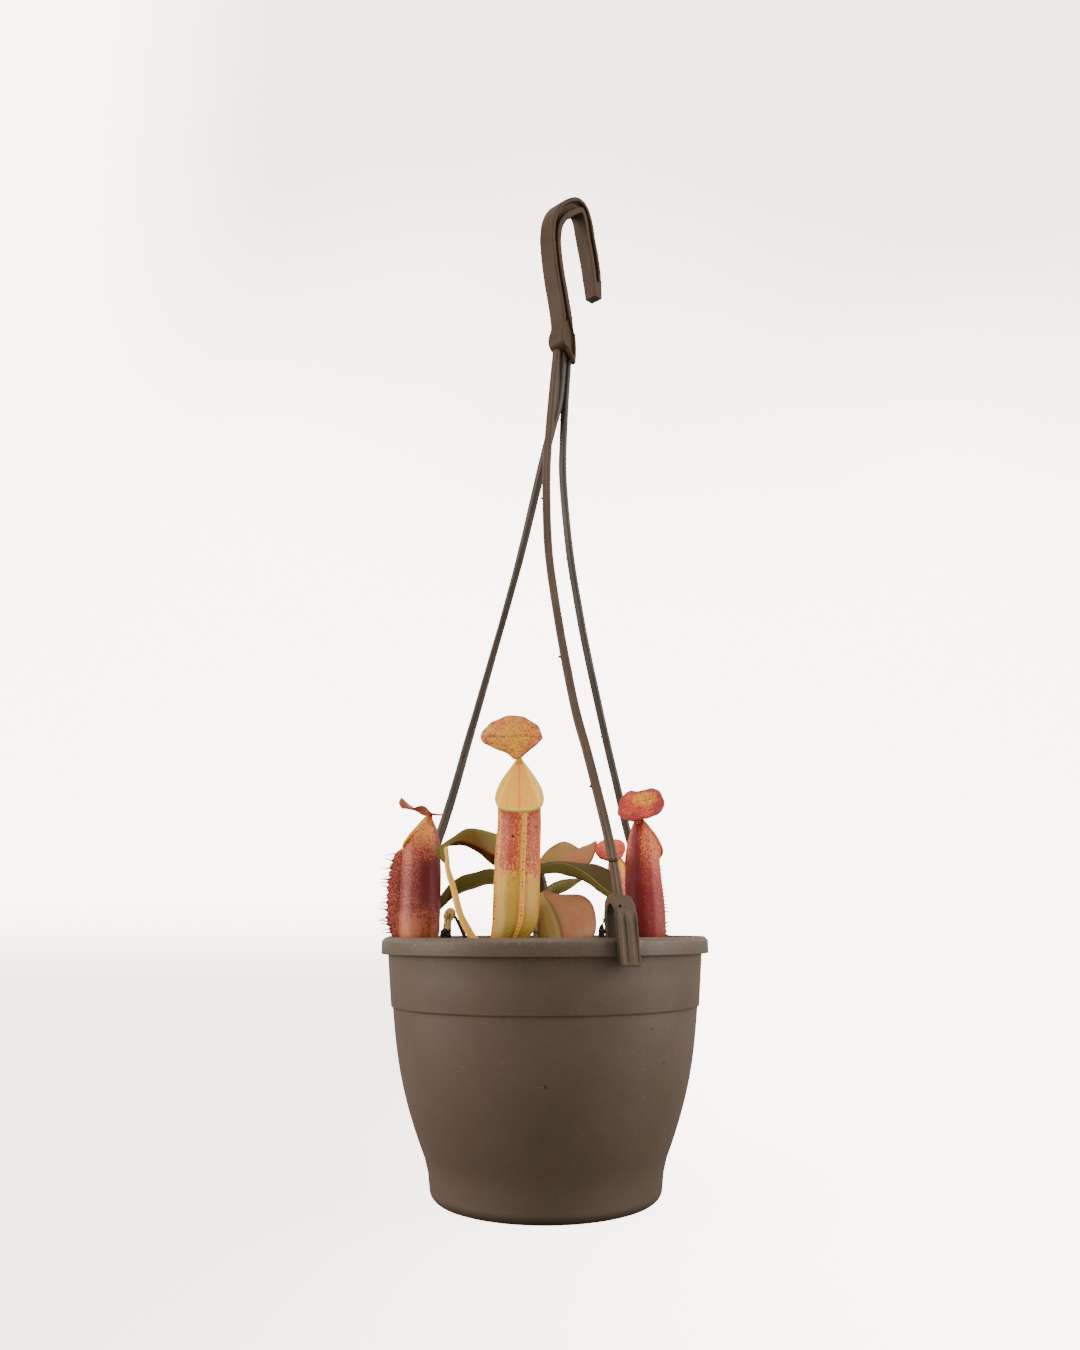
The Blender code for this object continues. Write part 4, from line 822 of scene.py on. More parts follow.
def slabPiece(name, sides, material, layers):  # two grids of points, closed along their border
    rows, columns = sides[0].shape[:2]
    count = rows * columns
    faces = []
    for a in (i * columns + j for i in range(rows - 1) for j in range(columns - 1)):
        b = a + count
        faces += [(a, a + 1, a + columns + 1, a + columns), (b, b + columns, b + columns + 1, b + 1)]
    border = [*range(columns), *range(2 * columns - 1, count, columns),
              *range(count - 2, count - columns - 1, -1), *range(count - 2 * columns, 0, -columns)]
    for a, b in zip(border, border[1:] + border[:1]):
        faces.append((a, count + a, count + b, b))
    layers = {key: np.tile(np.ravel(values), 2) for key, values in layers.items()}
    layers["under"] = np.repeat([0.0, 1.0], count)
    return faceOut(meshPiece(name, np.reshape(sides, (-1, 3)), faces, material, layers))


def makeLeaves():
    for seed, (side, leaf) in enumerate(leaves.items()):
        name = "leaf" + side
        piece = bladePiece(name, leaf, leafFinish(name + " skin", leaf), 3.0 + seed)
        if leaf["tendril"]:
            skin = stalkFinish(name + " tendril skin", leaf["stalk"], leaf["stalkRed"], leaf["margin"])
            line = smoothLine(leaf["tendril"], 90)
            radii = np.linspace(*leaf["tendrilRadius"], 90)
            radii *= 1 + 0.05 * np.sin(np.linspace(0, 40, 90))
            radii[:4] *= (0.45, 0.7, 0.88, 0.97)
            piece = join(name, [piece, tubePiece("tendril", line, radii, skin, 20)])
        node = "leaf_" + "".join("_" + c.lower() if c.isupper() else c for c in side).strip("_")
        handOver(piece, leaf["slot"], node)


# ---- pitchers

pitchers = {
    "Front": dict(
        facing=(0.03, -1.0),
        stations=[(106.2, -17, -35, 2.6), (107.2, -16.8, -35, 5.6), (110.5, -15.4, -35, 8.2),
                  (119, -12.9, -35, 10), (141, -12.1, -35, 10.2), (160, -11.2, -35, 9.7)],
        lip=(164.6, 190.2, 8.9, -4.6, 10.4, 1.1), rib=[(106, 0.4), (114, 0.7), (125, 0.8), (160, 0.6)],
        ribs=(-60, 13), hairs=(112, 160), hairLength=0.7, slot="pitcher_gold"),
    "Left": dict(
        facing=(-1.0, 0.10),
        stations=[(106.2, -58.4, 0, 2.6), (107.2, -58.4, 0, 6), (110.5, -58.4, 0, 8.9), (119, -58.5, 0, 9.6),
                  (138, -58.4, 0, 9.6), (147, -58.4, 0, 9.3)],
        lip=(151.6, 167.6, 7.6, -3.8, 8.6, 0.9),
        rib=[(106, 2), (110.5, 3.5), (119, 6.0), (135, 5.9), (143, 5.1), (147, 3.9)],
        ribs=(-24, 24), hairs=(109, 149), hairLength=4.2, slot="pitcher_red"),
    "Right": dict(
        facing=(0.5, 0.87),
        stations=[(106.2, 47.2, 0, 2.6), (107.2, 47.2, 0, 6), (110.5, 47.3, 0, 8.8), (122, 47.1, 0, 9.3),
                  (134, 46.7, 0, 8.8), (143, 46.3, 0, 8.3)],
        lip=(146.5, 164.6, 6.5, -2.6, 8.0, 0.62), rib=[(106, 1.6), (112, 2.4), (143, 1.6)], ribs=(-30, 24),
        hairs=(110, 143), hairLength=2.8, slot="pitcher_red"),
    "Small": dict(
        facing=(0.35, 0.94),
        stations=[(106.2, 38.5, 30, 1.6), (107, 38.4, 30, 3.2), (110, 37.8, 30, 4.3), (120, 36.9, 30, 4.9),
                  (132, 36.3, 30, 4.8), (140, 36, 30, 4.6)],
        lip=(142, 150.8, 3.8, -1.4, 4.3, 0.9), rib=[(106, 0.6), (140, 0.9)], ribs=(-24, 24), hairs=None,
        slot="pitcher_red"),
}
cupSizes = dict(lipRadius=0.85, wall=0.9, ribWidth=6.5, rows=90, neckRadii=[1.45, 1.35, 1.0, 0.55],
                lidThickness=0.7, lidRows=14, lidSides=120)

lids = {
    "Front": dict(
        middle=(-14.7, -30.6, 199.4), long=(1, 0, 0), short=(0, 0.1, 1), dome=1.6,
        outline=[(-14.4, 0.3, 0), (-13.9, -1.6, 0), (-11.7, -3.4, 0.2), (-8.4, -5, 0.3), (-2.5, -7.6, 0.2),
                 (0.8, -10, 0), (2.7, -10.4, 0), (6.7, -7.6, 0.2), (10.9, -3.9, 0.4), (13.5, -1.3, 0.1),
                 (13.9, 0.6, 0), (12.6, 4.7, -0.2), (9.3, 7.7, -0.2), (5, 9.8, 0.1), (0, 10.6, 0.4),
                 (-5, 9.4, 0.1), (-9.3, 7.5, -0.2), (-11.7, 5.5, -0.4), (-14, 2.3, -0.2)],
        main=tint(232, 188, 130), second=tint(224, 144, 116), centre=tint(234, 192, 128), patch=0.1,
        pale=(-0.2, -0.3, 0.6), specks=tint(176, 70, 62), rim=tint(150, 128, 104), speckled=0.36),
    "Left": dict(
        middle=(-58.8, 1, 170), long=(0.95, 0, -0.31), short=(0, 1, 0.05), dome=-0.8,
        outline=[(-11.7, 0, 0.2), (-10.9, -3, 2.2), (-8.7, -5, 1.6), (-6.2, -6.6, -0.6), (-3.5, -8, -0.9),
                 (-0.6, -8.9, 1.1), (2.3, -8.8, 1.7), (5.2, -7.4, 0.2), (8.2, -4.6, -0.2), (10.7, 0, 1.2),
                 (8.9, 4.4, 0.9), (5.2, 7.4, 0.1), (1.4, 8.8, -2), (-1.9, 8.4, -1.6), (-4.9, 7, -0.9),
                 (-7.6, 5.4, -1.4), (-10.3, 3.4, -2)],
        main=tint(206, 140, 122), second=tint(188, 106, 98), centre=tint(204, 148, 118), patch=0.1,
        pale=(-0.7, 0, 0.5), specks=tint(146, 58, 56), rim=tint(150, 98, 84), speckled=0.3),
    "Right": dict(
        middle=(46, -0.4, 172), long=(0.95, 0.05, 0.3), short=(-0.18, 0.68, 0.7), dome=1.6,
        outline=[(-11.4, 0.9, 0), (-11.7, -1.9, -0.2), (-10.4, -5.4, -0.4), (-7.6, -8.8, 0),
                 (-3.7, -10.5, 0.4), (1.1, -10.8, 0.3), (6, -9.9, -0.2), (9.7, -6.8, -0.5), (11.6, -2, 0),
                 (11.2, 4.1, 0.4), (9.2, 8.2, 0.1), (5.6, 9.6, -0.3), (1.8, 9.7, -0.2), (-1.7, 11, 0.4),
                 (-5.1, 10.3, 0.3), (-9.2, 6.1, 0)],
        main=tint(218, 116, 84), second=tint(196, 74, 66), centre=tint(228, 184, 112), patch=0.6,
        pale=(0.25, 0.15, 0.5), specks=tint(166, 44, 48), rim=tint(176, 66, 56), speckled=0.42),
    "Small": dict(
        middle=(33.6, 30.6, 153), long=(0.98, 0.05, 0.14), short=(-0.1, 0.7, 0.7), dome=1.0,
        outline=[(-8, 0, 0), (-6.8, -5, 0.3), (-3, -8, 0), (2, -8.2, -0.3), (6, -4.5, 0), (7.6, 0.9, 0.3),
                 (6, 5.8, 0), (1, 8.2, -0.3), (-3.8, 7.3, 0), (-7, 4.1, 0.3)],
        main=tint(226, 140, 110), second=tint(216, 108, 92), centre=tint(230, 160, 112), patch=0.4,
        pale=(0.1, 0.1, 0.4), specks=tint(184, 66, 58), rim=tint(190, 84, 66), speckled=0.34),
}


# Each pitcher's ground colour by height, and how much of it the red stipple covers, by height and in areas of
# (angle from the front, half width, low, high, more or less cover); streaks are painted over the stipple.
pitcherSkins = {
    "Front": dict(
        ladder=[(106, tint(156, 130, 66)), (120, tint(192, 160, 88)), (140, tint(210, 172, 104)),
                (158, tint(224, 178, 120)), (190, tint(230, 186, 126))],
        cover=[(106, 0.12), (140, 0.17), (160, 0.32), (174, 0.28), (190, 0.05)],
        areas=[(-26, 25, 138, 174, 0.56), (42, 21, 136, 175, 0.52), (96, 30, 106, 176, 0.16),
               (-100, 34, 106, 176, 0.14)],
        red=tint(216, 104, 88), deep=tint(186, 66, 60), fineness=1.2,
        streaks=[(13, 5.5, 104, 168, tint(232, 192, 128), 0.6), (-60, 6, 108, 170, tint(230, 188, 124), 0.5),
                 (88, 20, 104, 185, tint(190, 116, 66), 0.4), (-92, 20, 104, 185, tint(196, 124, 72), 0.35)],
        glow=0.36, scars=[(-13.8, 153.5, 0.6), (-3.8, 157.9, 0.5)], wing=tint(224, 176, 108), wingCover=0.18,
        lip=tint(242, 220, 160), lipEdge=tint(214, 160, 96), inside=tint(240, 218, 170),
        insideVein=tint(224, 164, 112)),
    "Left": dict(
        ladder=[(106, tint(204, 148, 112)), (120, tint(196, 124, 102)), (136, tint(192, 104, 92)),
                (150, tint(212, 138, 110)), (162, tint(232, 182, 128)), (170, tint(216, 122, 104))],
        cover=[(106, 0.20), (118, 0.26), (124, 0.66), (134, 0.78), (144, 0.66), (151, 0.50), (160, 0.28),
               (166, 0.4)],
        areas=[(146, 40, 124, 146, 0.34), (172, 20, 108, 168, 0.3), (52, 16, 116, 150, -0.18)],
        red=tint(160, 60, 56), deep=tint(130, 14, 24), fineness=1.9,
        streaks=[(176, 12, 112, 166, tint(150, 40, 48), 0.45)], glow=0.2, wing=tint(212, 146, 126),
        wingCover=0.5, lip=tint(230, 188, 112), lipEdge=tint(190, 110, 64), inside=tint(230, 196, 152),
        insideVein=tint(180, 90, 76)),
    "Right": dict(
        ladder=[(106, tint(176, 96, 66)), (116, tint(182, 82, 66)), (130, tint(204, 96, 84)),
                (142, tint(216, 128, 104)), (152, tint(226, 156, 118)), (166, tint(210, 124, 98))],
        cover=[(106, 0.58), (116, 0.76), (128, 0.90), (140, 0.72), (149, 0.50), (158, 0.34), (166, 0.55)],
        areas=[(180, 16, 108, 166, 0.45), (-84, 36, 112, 150, -0.16), (128, 30, 112, 150, 0.14)],
        red=tint(174, 50, 42), deep=tint(156, 20, 24), fineness=1.8,
        streaks=[(180, 9, 112, 160, tint(146, 30, 44), 0.5)], glow=0.2, wing=tint(196, 92, 74), wingCover=0.5,
        lip=tint(214, 150, 96), lipEdge=tint(134, 74, 44), inside=tint(226, 180, 144),
        insideVein=tint(160, 60, 56)),
    "Small": dict(
        ladder=[(106, tint(170, 84, 60)), (122, tint(206, 110, 82)), (134, tint(222, 146, 96)),
                (142, tint(230, 190, 116)), (150, tint(228, 178, 108))],
        cover=[(106, 0.6), (126, 0.5), (138, 0.24), (150, 0.16)],
        areas=[(180, 18, 108, 148, 0.25)], red=tint(184, 74, 62), deep=tint(148, 48, 48), fineness=1.3,
        streaks=[], glow=0.2, wing=tint(212, 128, 92), wingCover=0.3, lip=tint(232, 196, 126),
        lipEdge=tint(196, 120, 76), inside=tint(226, 186, 130), insideVein=tint(170, 70, 58)),
}


def heightRamp(f, height, points):
    low, high = points[0][0], points[-1][0]
    stops = [((z - low) / (high - low), c if isinstance(c, tuple) else (c, c, c, 1.0)) for z, c in points]
    return f.ramp((height - low) / (high - low), *stops)


def stippled(f, cover, fineness, place=None):
    place = place or f.place.scaled(1, 1, 0.6)
    noisy = f.speckle(fineness, 3, 0.6, place) * 0.6 + f.speckle(fineness * 2.1, 2, 0.6, place) * 0.4
    return (noisy + (cover - 0.5) * 0.26).step(0.478, 0.532)


def pitcherFinish(name, skin):
    f = Finish(name, Specular_IOR_Level=0.35, Coat_Roughness=0.25, Subsurface_Weight=0.08,
               Subsurface_Scale=0.0015, Emission_Strength=skin["glow"])  # painted light: the lining glows, standing in for light that comes through the thin wall
    front, side = f.attribute("front"), f.attribute("side")
    inside, lip, wing = f.attribute("inside"), f.attribute("lip"), f.attribute("wing")
    height = f.place.part("Z")
    broad, cloud, fine = f.speckle(0.14, 4, 0.6), f.speckle(0.42, 5, 0.65), f.speckle(2.1, 4, 0.65)
    level = height + 9.0 * (cloud - 0.5) + 5.0 * (broad - 0.5)
    f.colour = heightRamp(f, level, skin["ladder"])
    f.paint((fine.step(0.4, 0.75) * 0.25).clip(), skin["lip"])

    def aimed(angle, width, low, high, soft):
        turn = math.radians(angle)
        outer = math.cos(math.radians(min(175, width * (1 + soft))))
        inner = math.cos(math.radians(width * (1 - soft)))
        reach = height + 7.0 * (cloud - 0.5)
        aim = front * math.cos(turn) + side * math.sin(turn)
        return aim.step(outer, inner) * reach.step(low - 3, low + 4) * reach.step(high + 2, high - 3)

    cover = heightRamp(f, level, skin["cover"]).maths("ADD", 0.0)
    for angle, width, low, high, amount in skin["areas"]:
        cover = cover + amount * aimed(angle, width, low, high, 0.5)
    cover = cover + 0.55 * (cloud - 0.5) + wing * (skin["wingCover"] - cover)
    f.paint(wing * 0.85, skin["wing"])
    red = f.mix((cover * 1.5 - 0.62 + 0.8 * (fine - 0.5)).clip(), skin["red"], skin["deep"])
    spots = stippled(f, cover, skin["fineness"])
    f.paint(spots * 0.94, red)
    dots = f.cells(0.62).step(0.30, 0.17) * (cover + 0.2 * (broad - 0.5)).step(0.12, 0.5)
    f.paint(dots * 0.75, skin["deep"])
    for x, z, size in skin.get("scars", []):
        east, up = f.place.part("X") - x, height - z
        scar = (east * east + up * up).maths("SQRT").step(size * 1.2, size * 0.7) * front.step(0.2, 0.4)
        f.paint(scar, tint(40, 26, 20))
    for angle, width, low, high, shade, strength in skin["streaks"]:
        ragged = aimed(angle, width, low, high, 0.4) + 0.9 * (fine - 0.5)
        f.paint(ragged.step(0.32, 0.75) * strength, shade)
    turn = side.maths("ARCTAN2", front)
    veins = (turn * 13.0 + 3.0 * (cloud - 0.5) + 2.0 * (broad - 0.5)).cosine().step(0.93, 1.0)
    lining = f.mix((veins * 0.35 + stippled(f, height * 0.0 + 0.16, 1.0) * 0.6).clip(), skin["inside"],
                   skin["insideVein"])
    midline = (-front).step(0.992, 0.9995) * (0.4 + cloud)
    lining = f.mix((midline * 0.7).clip(), lining, skin["insideVein"])
    f.paint(inside, lining)
    ribs = (turn * 60.0).cosine()
    edge = f.mix((fine.step(0.45, 0.7) * 0.4 + ribs * 0.1).clip(), skin["lip"], skin["lipEdge"])
    f.paint(lip, edge)
    pimples = f.cells(1.5).step(0.34, 0.12)
    skinHeight = 0.45 * fine + 0.5 * pimples + 0.3 * spots + 0.22 * lip * ribs + 0.3 * f.speckle(4.4, 2)
    roughness = 0.42 + 0.2 * fine - 0.12 * lip - 0.06 * inside + 0.06 * spots
    return f.finished(Roughness=roughness, Normal=f.bump(skinHeight, 0.5, 0.14),
                      Coat_Weight=0.05 + 0.4 * lip + 0.1 * inside,
                      Emission_Color=f.mix(inside, (0.0, 0.0, 0.0, 1.0), lining))


def lidFinish(name, lid):
    f = Finish(name, Specular_IOR_Level=0.35, Coat_Roughness=0.3, Subsurface_Weight=0.08,
               Subsurface_Scale=0.0015)
    reach, east, north, under = (f.attribute(key) for key in ("reach", "east", "north", "under"))
    broad, cloud, fine = f.speckle(0.13, 4, 0.6), f.speckle(0.4, 5, 0.65), f.speckle(2.2, 4, 0.65)
    patch = (broad + 0.35 * (cloud - 0.5) + lid["patch"] * (reach - 0.6)).step(0.47, 0.62)
    f.colour = f.mix(patch * 0.85, lid["main"], lid["second"])
    cx, cy, spread = lid["pale"]
    away = ((east - cx) * (east - cx) + (north - cy) * (north - cy)).maths("SQRT") + 0.35 * (cloud - 0.5)
    f.paint(away.step(spread * 1.25, spread * 0.6) * 0.85, lid["centre"])
    keel = (north.size() + 0.03 * (fine - 0.5)).step(0.06, 0.015) * reach.step(1.0, 0.8)
    f.paint(keel * 0.3, lid["specks"])
    branch = ((east + north.size() * 0.9) * 22.0 + 2.0 * (cloud - 0.5)).cosine().step(0.9, 1.0)
    f.paint(branch * 0.16, lid["specks"])
    cover = lid["speckled"] + 0.9 * (cloud - 0.5) + 0.7 * (broad - 0.5) + lid["patch"] * 0.3 * (reach - 0.6)
    spots = stippled(f, cover, 1.15, f.place)
    dots = f.cells(0.7).step(0.30, 0.17) * (cover + 0.2).step(0.3, 0.6)
    f.paint((spots * 0.8 + dots * 0.7).clip(), lid["specks"])
    border = (reach + 0.03 * (fine - 0.5)).step(0.935, 0.975)
    f.paint(border * 0.8, lid["rim"])
    f.paint(under * 0.2 * fine.step(0.35, 0.65), lid["centre"])
    height = 0.5 * fine + 0.4 * spots - 0.35 * branch - 0.8 * keel + 0.3 * f.speckle(4.6, 2)
    return f.finished(Roughness=0.44 + 0.24 * fine, Normal=f.bump(height, 0.45, 0.12), Coat_Weight=0.05)


def cupAngles(shape):
    edges = [-180.0]
    for rib in shape["ribs"]:
        edges += [rib - cupSizes["ribWidth"], rib + cupSizes["ribWidth"]]
    edges.append(180.0)
    angles = []
    for i, (low, high) in enumerate(zip(edges, edges[1:])):
        steps = 17 if i % 2 else max(3, int((high - low) / 2.8))
        angles += list(np.linspace(low, high, steps)[:-1])
    return np.radians(angles)


def ribShape(shape, angles):
    off = np.min([abs((np.degrees(angles) - rib + 180) % 360 - 180) for rib in shape["ribs"]], axis=0)
    return np.clip(1 - off / cupSizes["ribWidth"], 0, 1)


def ribRise(shape, height):
    return float(np.interp(height, *zip(*shape["rib"])))


def headings(shape):
    facing = np.array([*shape["facing"], 0]) / math.hypot(*shape["facing"])
    return facing, np.array([-facing[1], facing[0], 0])


def cupWall(shape, angles, height, inset, ribbed):
    facing, side = headings(shape)
    stations = smoothLine(shape["stations"], 60)
    x, y, reach = (float(np.interp(height, stations[:, 0], stations[:, i])) for i in (1, 2, 3))
    radius = np.full(len(angles), reach - inset)
    if ribbed:
        wing = ribShape(shape, angles) ** 1.25
        frill = 1 + 0.07 * math.sin(height * 1.9) + 0.05 * math.sin(height * 4.3 + 1)
        radius = radius + ribRise(shape, height) * wing * frill
    spot = np.array([x, y, height])
    return spot + radius[:, None] * (np.cos(angles)[:, None] * facing + np.sin(angles)[:, None] * side)


def cupSurface(shape, angles):
    facing, side = headings(shape)
    frontHeight, peakHeight, frontReach, peakReach, halfWidth, point = shape["lip"]
    stations = np.array(shape["stations"], float)
    top, up = stations[-1], np.array([0, 0, 1.0])
    share = (1 - np.cos(angles)) / 2
    lipHeight = frontHeight + (peakHeight - frontHeight) * share ** 1.35
    lipReach = frontReach + (peakReach - frontReach) * (lipHeight - frontHeight) / (peakHeight - frontHeight)
    sharper = np.interp(share, [0.4, 1], [1, point])
    lipSide = halfWidth * np.sign(np.sin(angles)) * abs(np.sin(angles)) ** sharper
    lipSide *= 1.2 - (0.4 + 0.5 * point) * share ** 1.6
    axis = np.array([top[1], top[2], 0])
    lip = axis + lipReach[:, None] * facing + lipSide[:, None] * side + lipHeight[:, None] * up
    slope = math.atan2(peakHeight - frontHeight, frontReach - peakReach)
    normal = facing * math.sin(slope) + up * math.cos(slope)
    centre = (axis + facing * (frontReach * 0.55 + peakReach * 0.45)
              + up * (frontHeight * 0.55 + peakHeight * 0.45))
    spread = lip - centre
    spread = unit(spread - (spread @ normal)[:, None] * normal)
    rings, inside, lipped, winged = [], [], [], []

    def add(ring, isInside=0.0, isLip=0.0, wing=0.0):
        rings.append(ring)
        inside.append(np.full(len(angles), isInside))
        lipped.append(np.full(len(angles), isLip))
        winged.append(wing * np.clip(ribShape(shape, angles) * 2.2, 0, 1))

    def shoulder(t, inset):
        low = cupWall(shape, angles, top[0], inset, inset == 0)
        handle = low + up * 0.62 * (lipHeight - top[0])[:, None]
        return (1 - t) ** 2 * low + 2 * (1 - t) * t * handle + t * t * (lip - spread * inset)

    add(cupWall(shape, angles, stations[0, 0], 0, False))
    for height in [*np.linspace(stations[0, 0] + 0.25, stations[3, 0], 14)[:-1],
                   *np.linspace(stations[3, 0], top[0], cupSizes["rows"] - 40)]:
        add(cupWall(shape, angles, height, 0, True), wing=1.0)
    for t in np.linspace(0.05, 0.93, 20):
        add(shoulder(t, 0), wing=1 - t)
    for turn in np.radians(np.linspace(-48, 176, 15)):
        wave = 1 + 0.05 * np.sin(angles * 9)[:, None]
        add(lip + cupSizes["lipRadius"] * wave * (math.cos(turn) * spread + math.sin(turn) * normal),
            isLip=1.0 if -40 < math.degrees(turn) < 170 else 0.4)
    wall = cupSizes["wall"]
    for t in np.linspace(0.90, 0.1, 13):
        add(shoulder(t, wall), 1.0)
    floor = stations[0, 0] + 0.45 * (frontHeight - stations[0, 0])
    for height in np.linspace(top[0], floor, 10):
        add(cupWall(shape, angles, height, wall, False), 1.0)
    for height, inset in ((floor - 1.4, 0.2), (floor - 2.4, 0.45), (floor - 3, 0.75)):
        add(cupWall(shape, angles, height, wall + inset * top[3], False), 1.0)
    rings = np.array(rings)
    outer = (1 - np.array(inside)) * (1 - np.array(lipped))
    outward = unit(cupWall(shape, angles, top[0], 0, False) - axis - up * top[0])
    bulge = 0.16 * wobbles(rings, 0.16, 4.0) + 0.05 * np.cos(angles * 14)[None, :]
    rings = rings + (outer * bulge)[..., None] * outward[None]
    layers = {"front": np.cos(angles)[None, :] + 0 * outer, "side": np.sin(angles)[None, :] + 0 * outer,
              "inside": np.array(inside), "lip": np.array(lipped), "wing": np.array(winged)}
    return rings, layers, lip


def closedLine(points, count):
    loop = np.asarray([points[-1], *points, points[0], points[1]], float)
    steps = 400
    line = smoothLine(loop, steps * (len(loop) - 1) + 1)[steps:-2 * steps - 1]
    return line[np.linspace(0, len(line) - 1, count, endpoint=False).astype(int)]


def lidPiece(name, lid, material, seed):
    middle = np.array(lid["middle"], float)
    long, short = unit(np.array([lid["long"], lid["short"]], float))
    normal = np.cross(long, short)
    outline = closedLine(lid["outline"], cupSizes["lidSides"])
    a, b, rise = outline.T
    crinkle = 1 + 0.012 * np.sin(np.arange(len(a)) * 2 * math.pi / len(a) * 11 + seed)
    a, b = a * crinkle, b * crinkle
    rings, reach, under, east, north = [], [], [], [], []
    scales = np.linspace(0, 1, cupSizes["lidRows"] + 1)[1:] ** 0.8
    for side, order in ((-1, scales), (1, scales[::-1])):
        for scale in order:
            thin = 1 if scale < 0.9 else 0.5 + 0.5 * math.sqrt(max(0.0, (1 - scale) / 0.1))
            keel = 0.35 * np.exp(-(b * scale / 0.8) ** 2) * (1 if side < 0 else -0.5)
            bow = lid["dome"] * (1 - scale * scale) + side * (0.5 * cupSizes["lidThickness"] * thin + keel)
            spots = middle + np.outer(a * scale, long) + np.outer(b * scale, short)
            lift = bow + rise * scale ** 2 + 0.22 * wobbles(spots, 0.3, seed)
            rings.append(spots + np.outer(lift, normal))
            reach.append(np.full(len(a), scale))
            under.append(np.full(len(a), 1.0 if side < 0 else 0.0))
            east.append(a * scale / abs(a).max())
            north.append(b * scale / abs(b).max())
    layers = dict(reach=reach, under=under, east=east, north=north)
    return ringPiece(name, rings, material, {k: np.array(v) for k, v in layers.items()})


# ---- node trees that repeat a small shape

def newTree(name, sockets):
    tree = bpy.data.node_groups.new(name, "GeometryNodeTree")
    tree.interface.new_socket("Geometry", in_out="OUTPUT", socket_type="NodeSocketGeometry")
    tree.interface.new_socket("Geometry", in_out="INPUT", socket_type="NodeSocketGeometry")
    for key, kind in sockets.items():
        tree.interface.new_socket(key, in_out="INPUT", socket_type="NodeSocket" + kind)
    maker = TreeMaker(tree)
    entry = tree.nodes.new("NodeGroupInput")
    return maker, {socket.name: Wire(maker, socket) for socket in entry.outputs if socket.name}


def randomValue(maker, kind, low, high, seed):
    places = {"FLOAT": (2, 3, 1), "FLOAT_VECTOR": (0, 1, 0), "INT": (4, 5, 2)}[kind]
    inputs = {places[0]: low, places[1]: high, 8: seed}
    return maker.node("FunctionNodeRandomValue", {"data_type": kind}, inputs, places[2])


def closeTree(maker, points, instance, rotation, scale, given, picked=False):
    inputs = {"Points": points, "Instance": instance, "Rotation": rotation, "Scale": scale,
              "Pick Instance": picked}
    placed = maker.node("GeometryNodeInstanceOnPoints", {}, inputs)
    tone = randomValue(maker, "FLOAT", 0.0, 1.0, given["Seed"])
    stored = maker.node("GeometryNodeStoreNamedAttribute", {"data_type": "FLOAT", "domain": "INSTANCE"},
                        {"Geometry": placed, "Name": "tone", "Value": tone})
    real = maker.node("GeometryNodeRealizeInstances", {}, {0: stored})
    finished = maker.node("GeometryNodeSetMaterial", {}, {"Geometry": real, "Material": given["Material"]})
    end = maker.tree.nodes.new("NodeGroupOutput")
    maker.tree.links.new(finished.socket, end.inputs[0])


def runTree(piece, maker, values):
    step = piece.modifiers.new("repeat", "NODES")
    step.node_group = maker.tree
    for item in maker.tree.interface.items_tree:
        if item.in_out == "INPUT" and item.name in values:
            step[item.identifier] = values[item.name]
    bakeModifiers(piece)
    bpy.data.node_groups.remove(maker.tree)
    piece.data.shade_smooth()
    return piece


def bristleTree():
    maker, given = newTree("bristles", {"Spacing": "Float", "Length": "Float", "Width": "Float",
                                        "Spread": "Float", "Seed": "Int", "Material": "Material"})
    curve = maker.node("GeometryNodeMeshToCurve", {}, {0: given["Geometry"]})
    spaced = maker.node("GeometryNodeResampleCurve", {"mode": "LENGTH"},
                        {"Curve": curve, "Length": given["Spacing"]})
    points = maker.node("GeometryNodeCurveToPoints", {"mode": "EVALUATED"}, {0: spaced})
    out = maker.node("GeometryNodeInputNamedAttribute", {"data_type": "FLOAT_VECTOR"}, {"Name": "out"})
    stray = randomValue(maker, "FLOAT_VECTOR", (-1.0, -1.0, -1.0), (1.0, 1.0, 1.0), given["Seed"])
    bend = maker.node("ShaderNodeVectorMath", {"operation": "SCALE"}, {0: stray, "Scale": given["Spread"]})
    rotation = maker.node("FunctionNodeAlignRotationToVector", {"axis": "Z"}, {"Vector": out.moved(bend)})
    hair = maker.node("GeometryNodeMeshCone", {}, {"Vertices": 6, "Side Segments": 3, "Fill Segments": 1,
                                                   "Radius Top": given["Width"] * 0.16,
                                                   "Radius Bottom": given["Width"], "Depth": given["Length"]})
    scale = randomValue(maker, "FLOAT", 0.55, 1.2, given["Seed"] + 3.0)
    closeTree(maker, points, hair, rotation, scale, given)
    return maker


